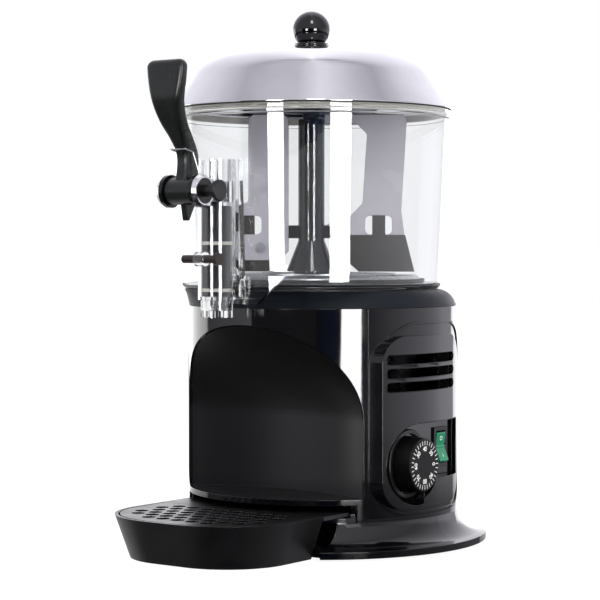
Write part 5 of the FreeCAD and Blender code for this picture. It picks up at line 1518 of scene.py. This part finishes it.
    def reflected(self, tree: Tree) -> tuple:
        """Paints the studio by direction: the room by azimuth, blending upwards to the ceiling.

        Args:
            tree: The world's tree.

        Returns:
            The sockets of the room's colour and of the patches' brightness.
        """
        ray = add_node(tree, "ShaderNodeSeparateXYZ", {
            0: add_node(tree, "ShaderNodeTexCoord").outputs["Generated"]})
        front = reckon(tree, "MULTIPLY", ray.outputs[1], -1)
        angle = reckon(tree, "ARCTAN2", ray.outputs[0], front)
        round_about = add_node(tree, "ShaderNodeMapRange", {
            "Value": angle, "From Min": -math.pi, "From Max": math.pi}).outputs[0]
        height = reckon(tree, "ARCSINE", ray.outputs[2])
        colours = [ramp(tree, round_about, [((place + 180) / 360, hue) for place, hue in stops])
                   for stops in (self.room, self.ceiling)]
        upward = add_node(tree, "ShaderNodeMapRange", {
            "Value": height, "From Min": math.radians(self.ceiling_start),
            "From Max": math.radians(self.ceiling_full)}, interpolation_type="SMOOTHSTEP")
        blend = add_node(tree, "ShaderNodeMix", {
            0: upward.outputs[0], 6: colours[0], 7: colours[1]}, data_type="RGBA")
        table = add_node(tree, "ShaderNodeMapRange", {
            "Value": height, "From Min": math.radians(self.table_full),
            "From Max": math.radians(self.table_start),
            "To Min": self.table_share * self.room_brightness, "To Max": self.room_brightness})
        room = add_node(tree, "ShaderNodeVectorMath", {
            0: blend.outputs[2], 3: table.outputs[0]}, operation="SCALE").outputs[0]
        total = 0
        for patch in self.patches:
            near = reckon(tree, "COMPARE", angle, math.radians(patch.turn),
                          math.radians(patch.half_width))
            within = reckon(tree, "COMPARE", height, math.radians(patch.level),
                            math.radians(patch.half_height))
            both = reckon(tree, "MULTIPLY", near, within)
            total = reckon(tree, "MULTIPLY_ADD", both, patch.brightness, total)
        return room, total

    def lamp(self, name: str, place: Sequence[float], size: Sequence[float], power: float) -> None:
        """Adds one soft lamp that points at the machine's middle; gloss shows the studio instead.

        Args:
            name: Its name.
            place: Where it stands, in metres.
            size: Its width and height in metres.
            power: Its power in watts.
        """
        light = bpy.data.lights.new(name, "AREA")
        light.shape = "RECTANGLE"
        light.size, light.size_y = size
        light.energy = power
        lamp = bpy.data.objects.new(name, light)
        lamp.location = place
        ahead = Vector((0, 0, self.aim)) - Vector(place)
        lamp.rotation_euler = ahead.to_track_quat("-Z", "Y").to_euler()
        lamp.visible_glossy = False
        lamp.visible_transmission = False
        bpy.context.scene.collection.objects.link(lamp)

    def camera(self) -> None:
        """Puts the camera at its place: the turn and tilt put the bowl's axis and horizon right."""
        lens = bpy.data.cameras.new("camera")
        lens.sensor_width = self.sensor
        lens.lens = self.sensor * self.focal_pixels / self.frame_pixels
        middle = self.frame_pixels / 2
        turn = math.radians(self.azimuth) + math.atan(
            (self.axis_pixel - middle) / self.focal_pixels)
        tilt = math.atan((middle - self.horizon_pixel) / self.focal_pixels)
        camera = bpy.data.objects.new("camera", lens)
        azimuth = math.radians(self.azimuth)
        axis_y = extent("bowl").mean(axis=0)[1]
        camera.location = (self.distance * math.sin(azimuth) * MM,
                           (axis_y - self.distance * math.cos(azimuth)) * MM, self.eye * MM)
        camera.rotation_euler = Euler((math.pi / 2 - tilt, 0, turn))
        bpy.context.scene.collection.objects.link(camera)
        bpy.context.scene.camera = camera


def main() -> None:
    """Builds the sub-assemblies in order."""
    logging.basicConfig(level=logging.INFO, format="%(name)s %(message)s")
    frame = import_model()
    Frame().build(frame)
    for assembly in (Bowl(), Lid(), Stirrer(), Lever(), Controls(), Edges(), Tray()):
        assembly.build()
    Studio().build()


if __name__ == "__main__":
    main()
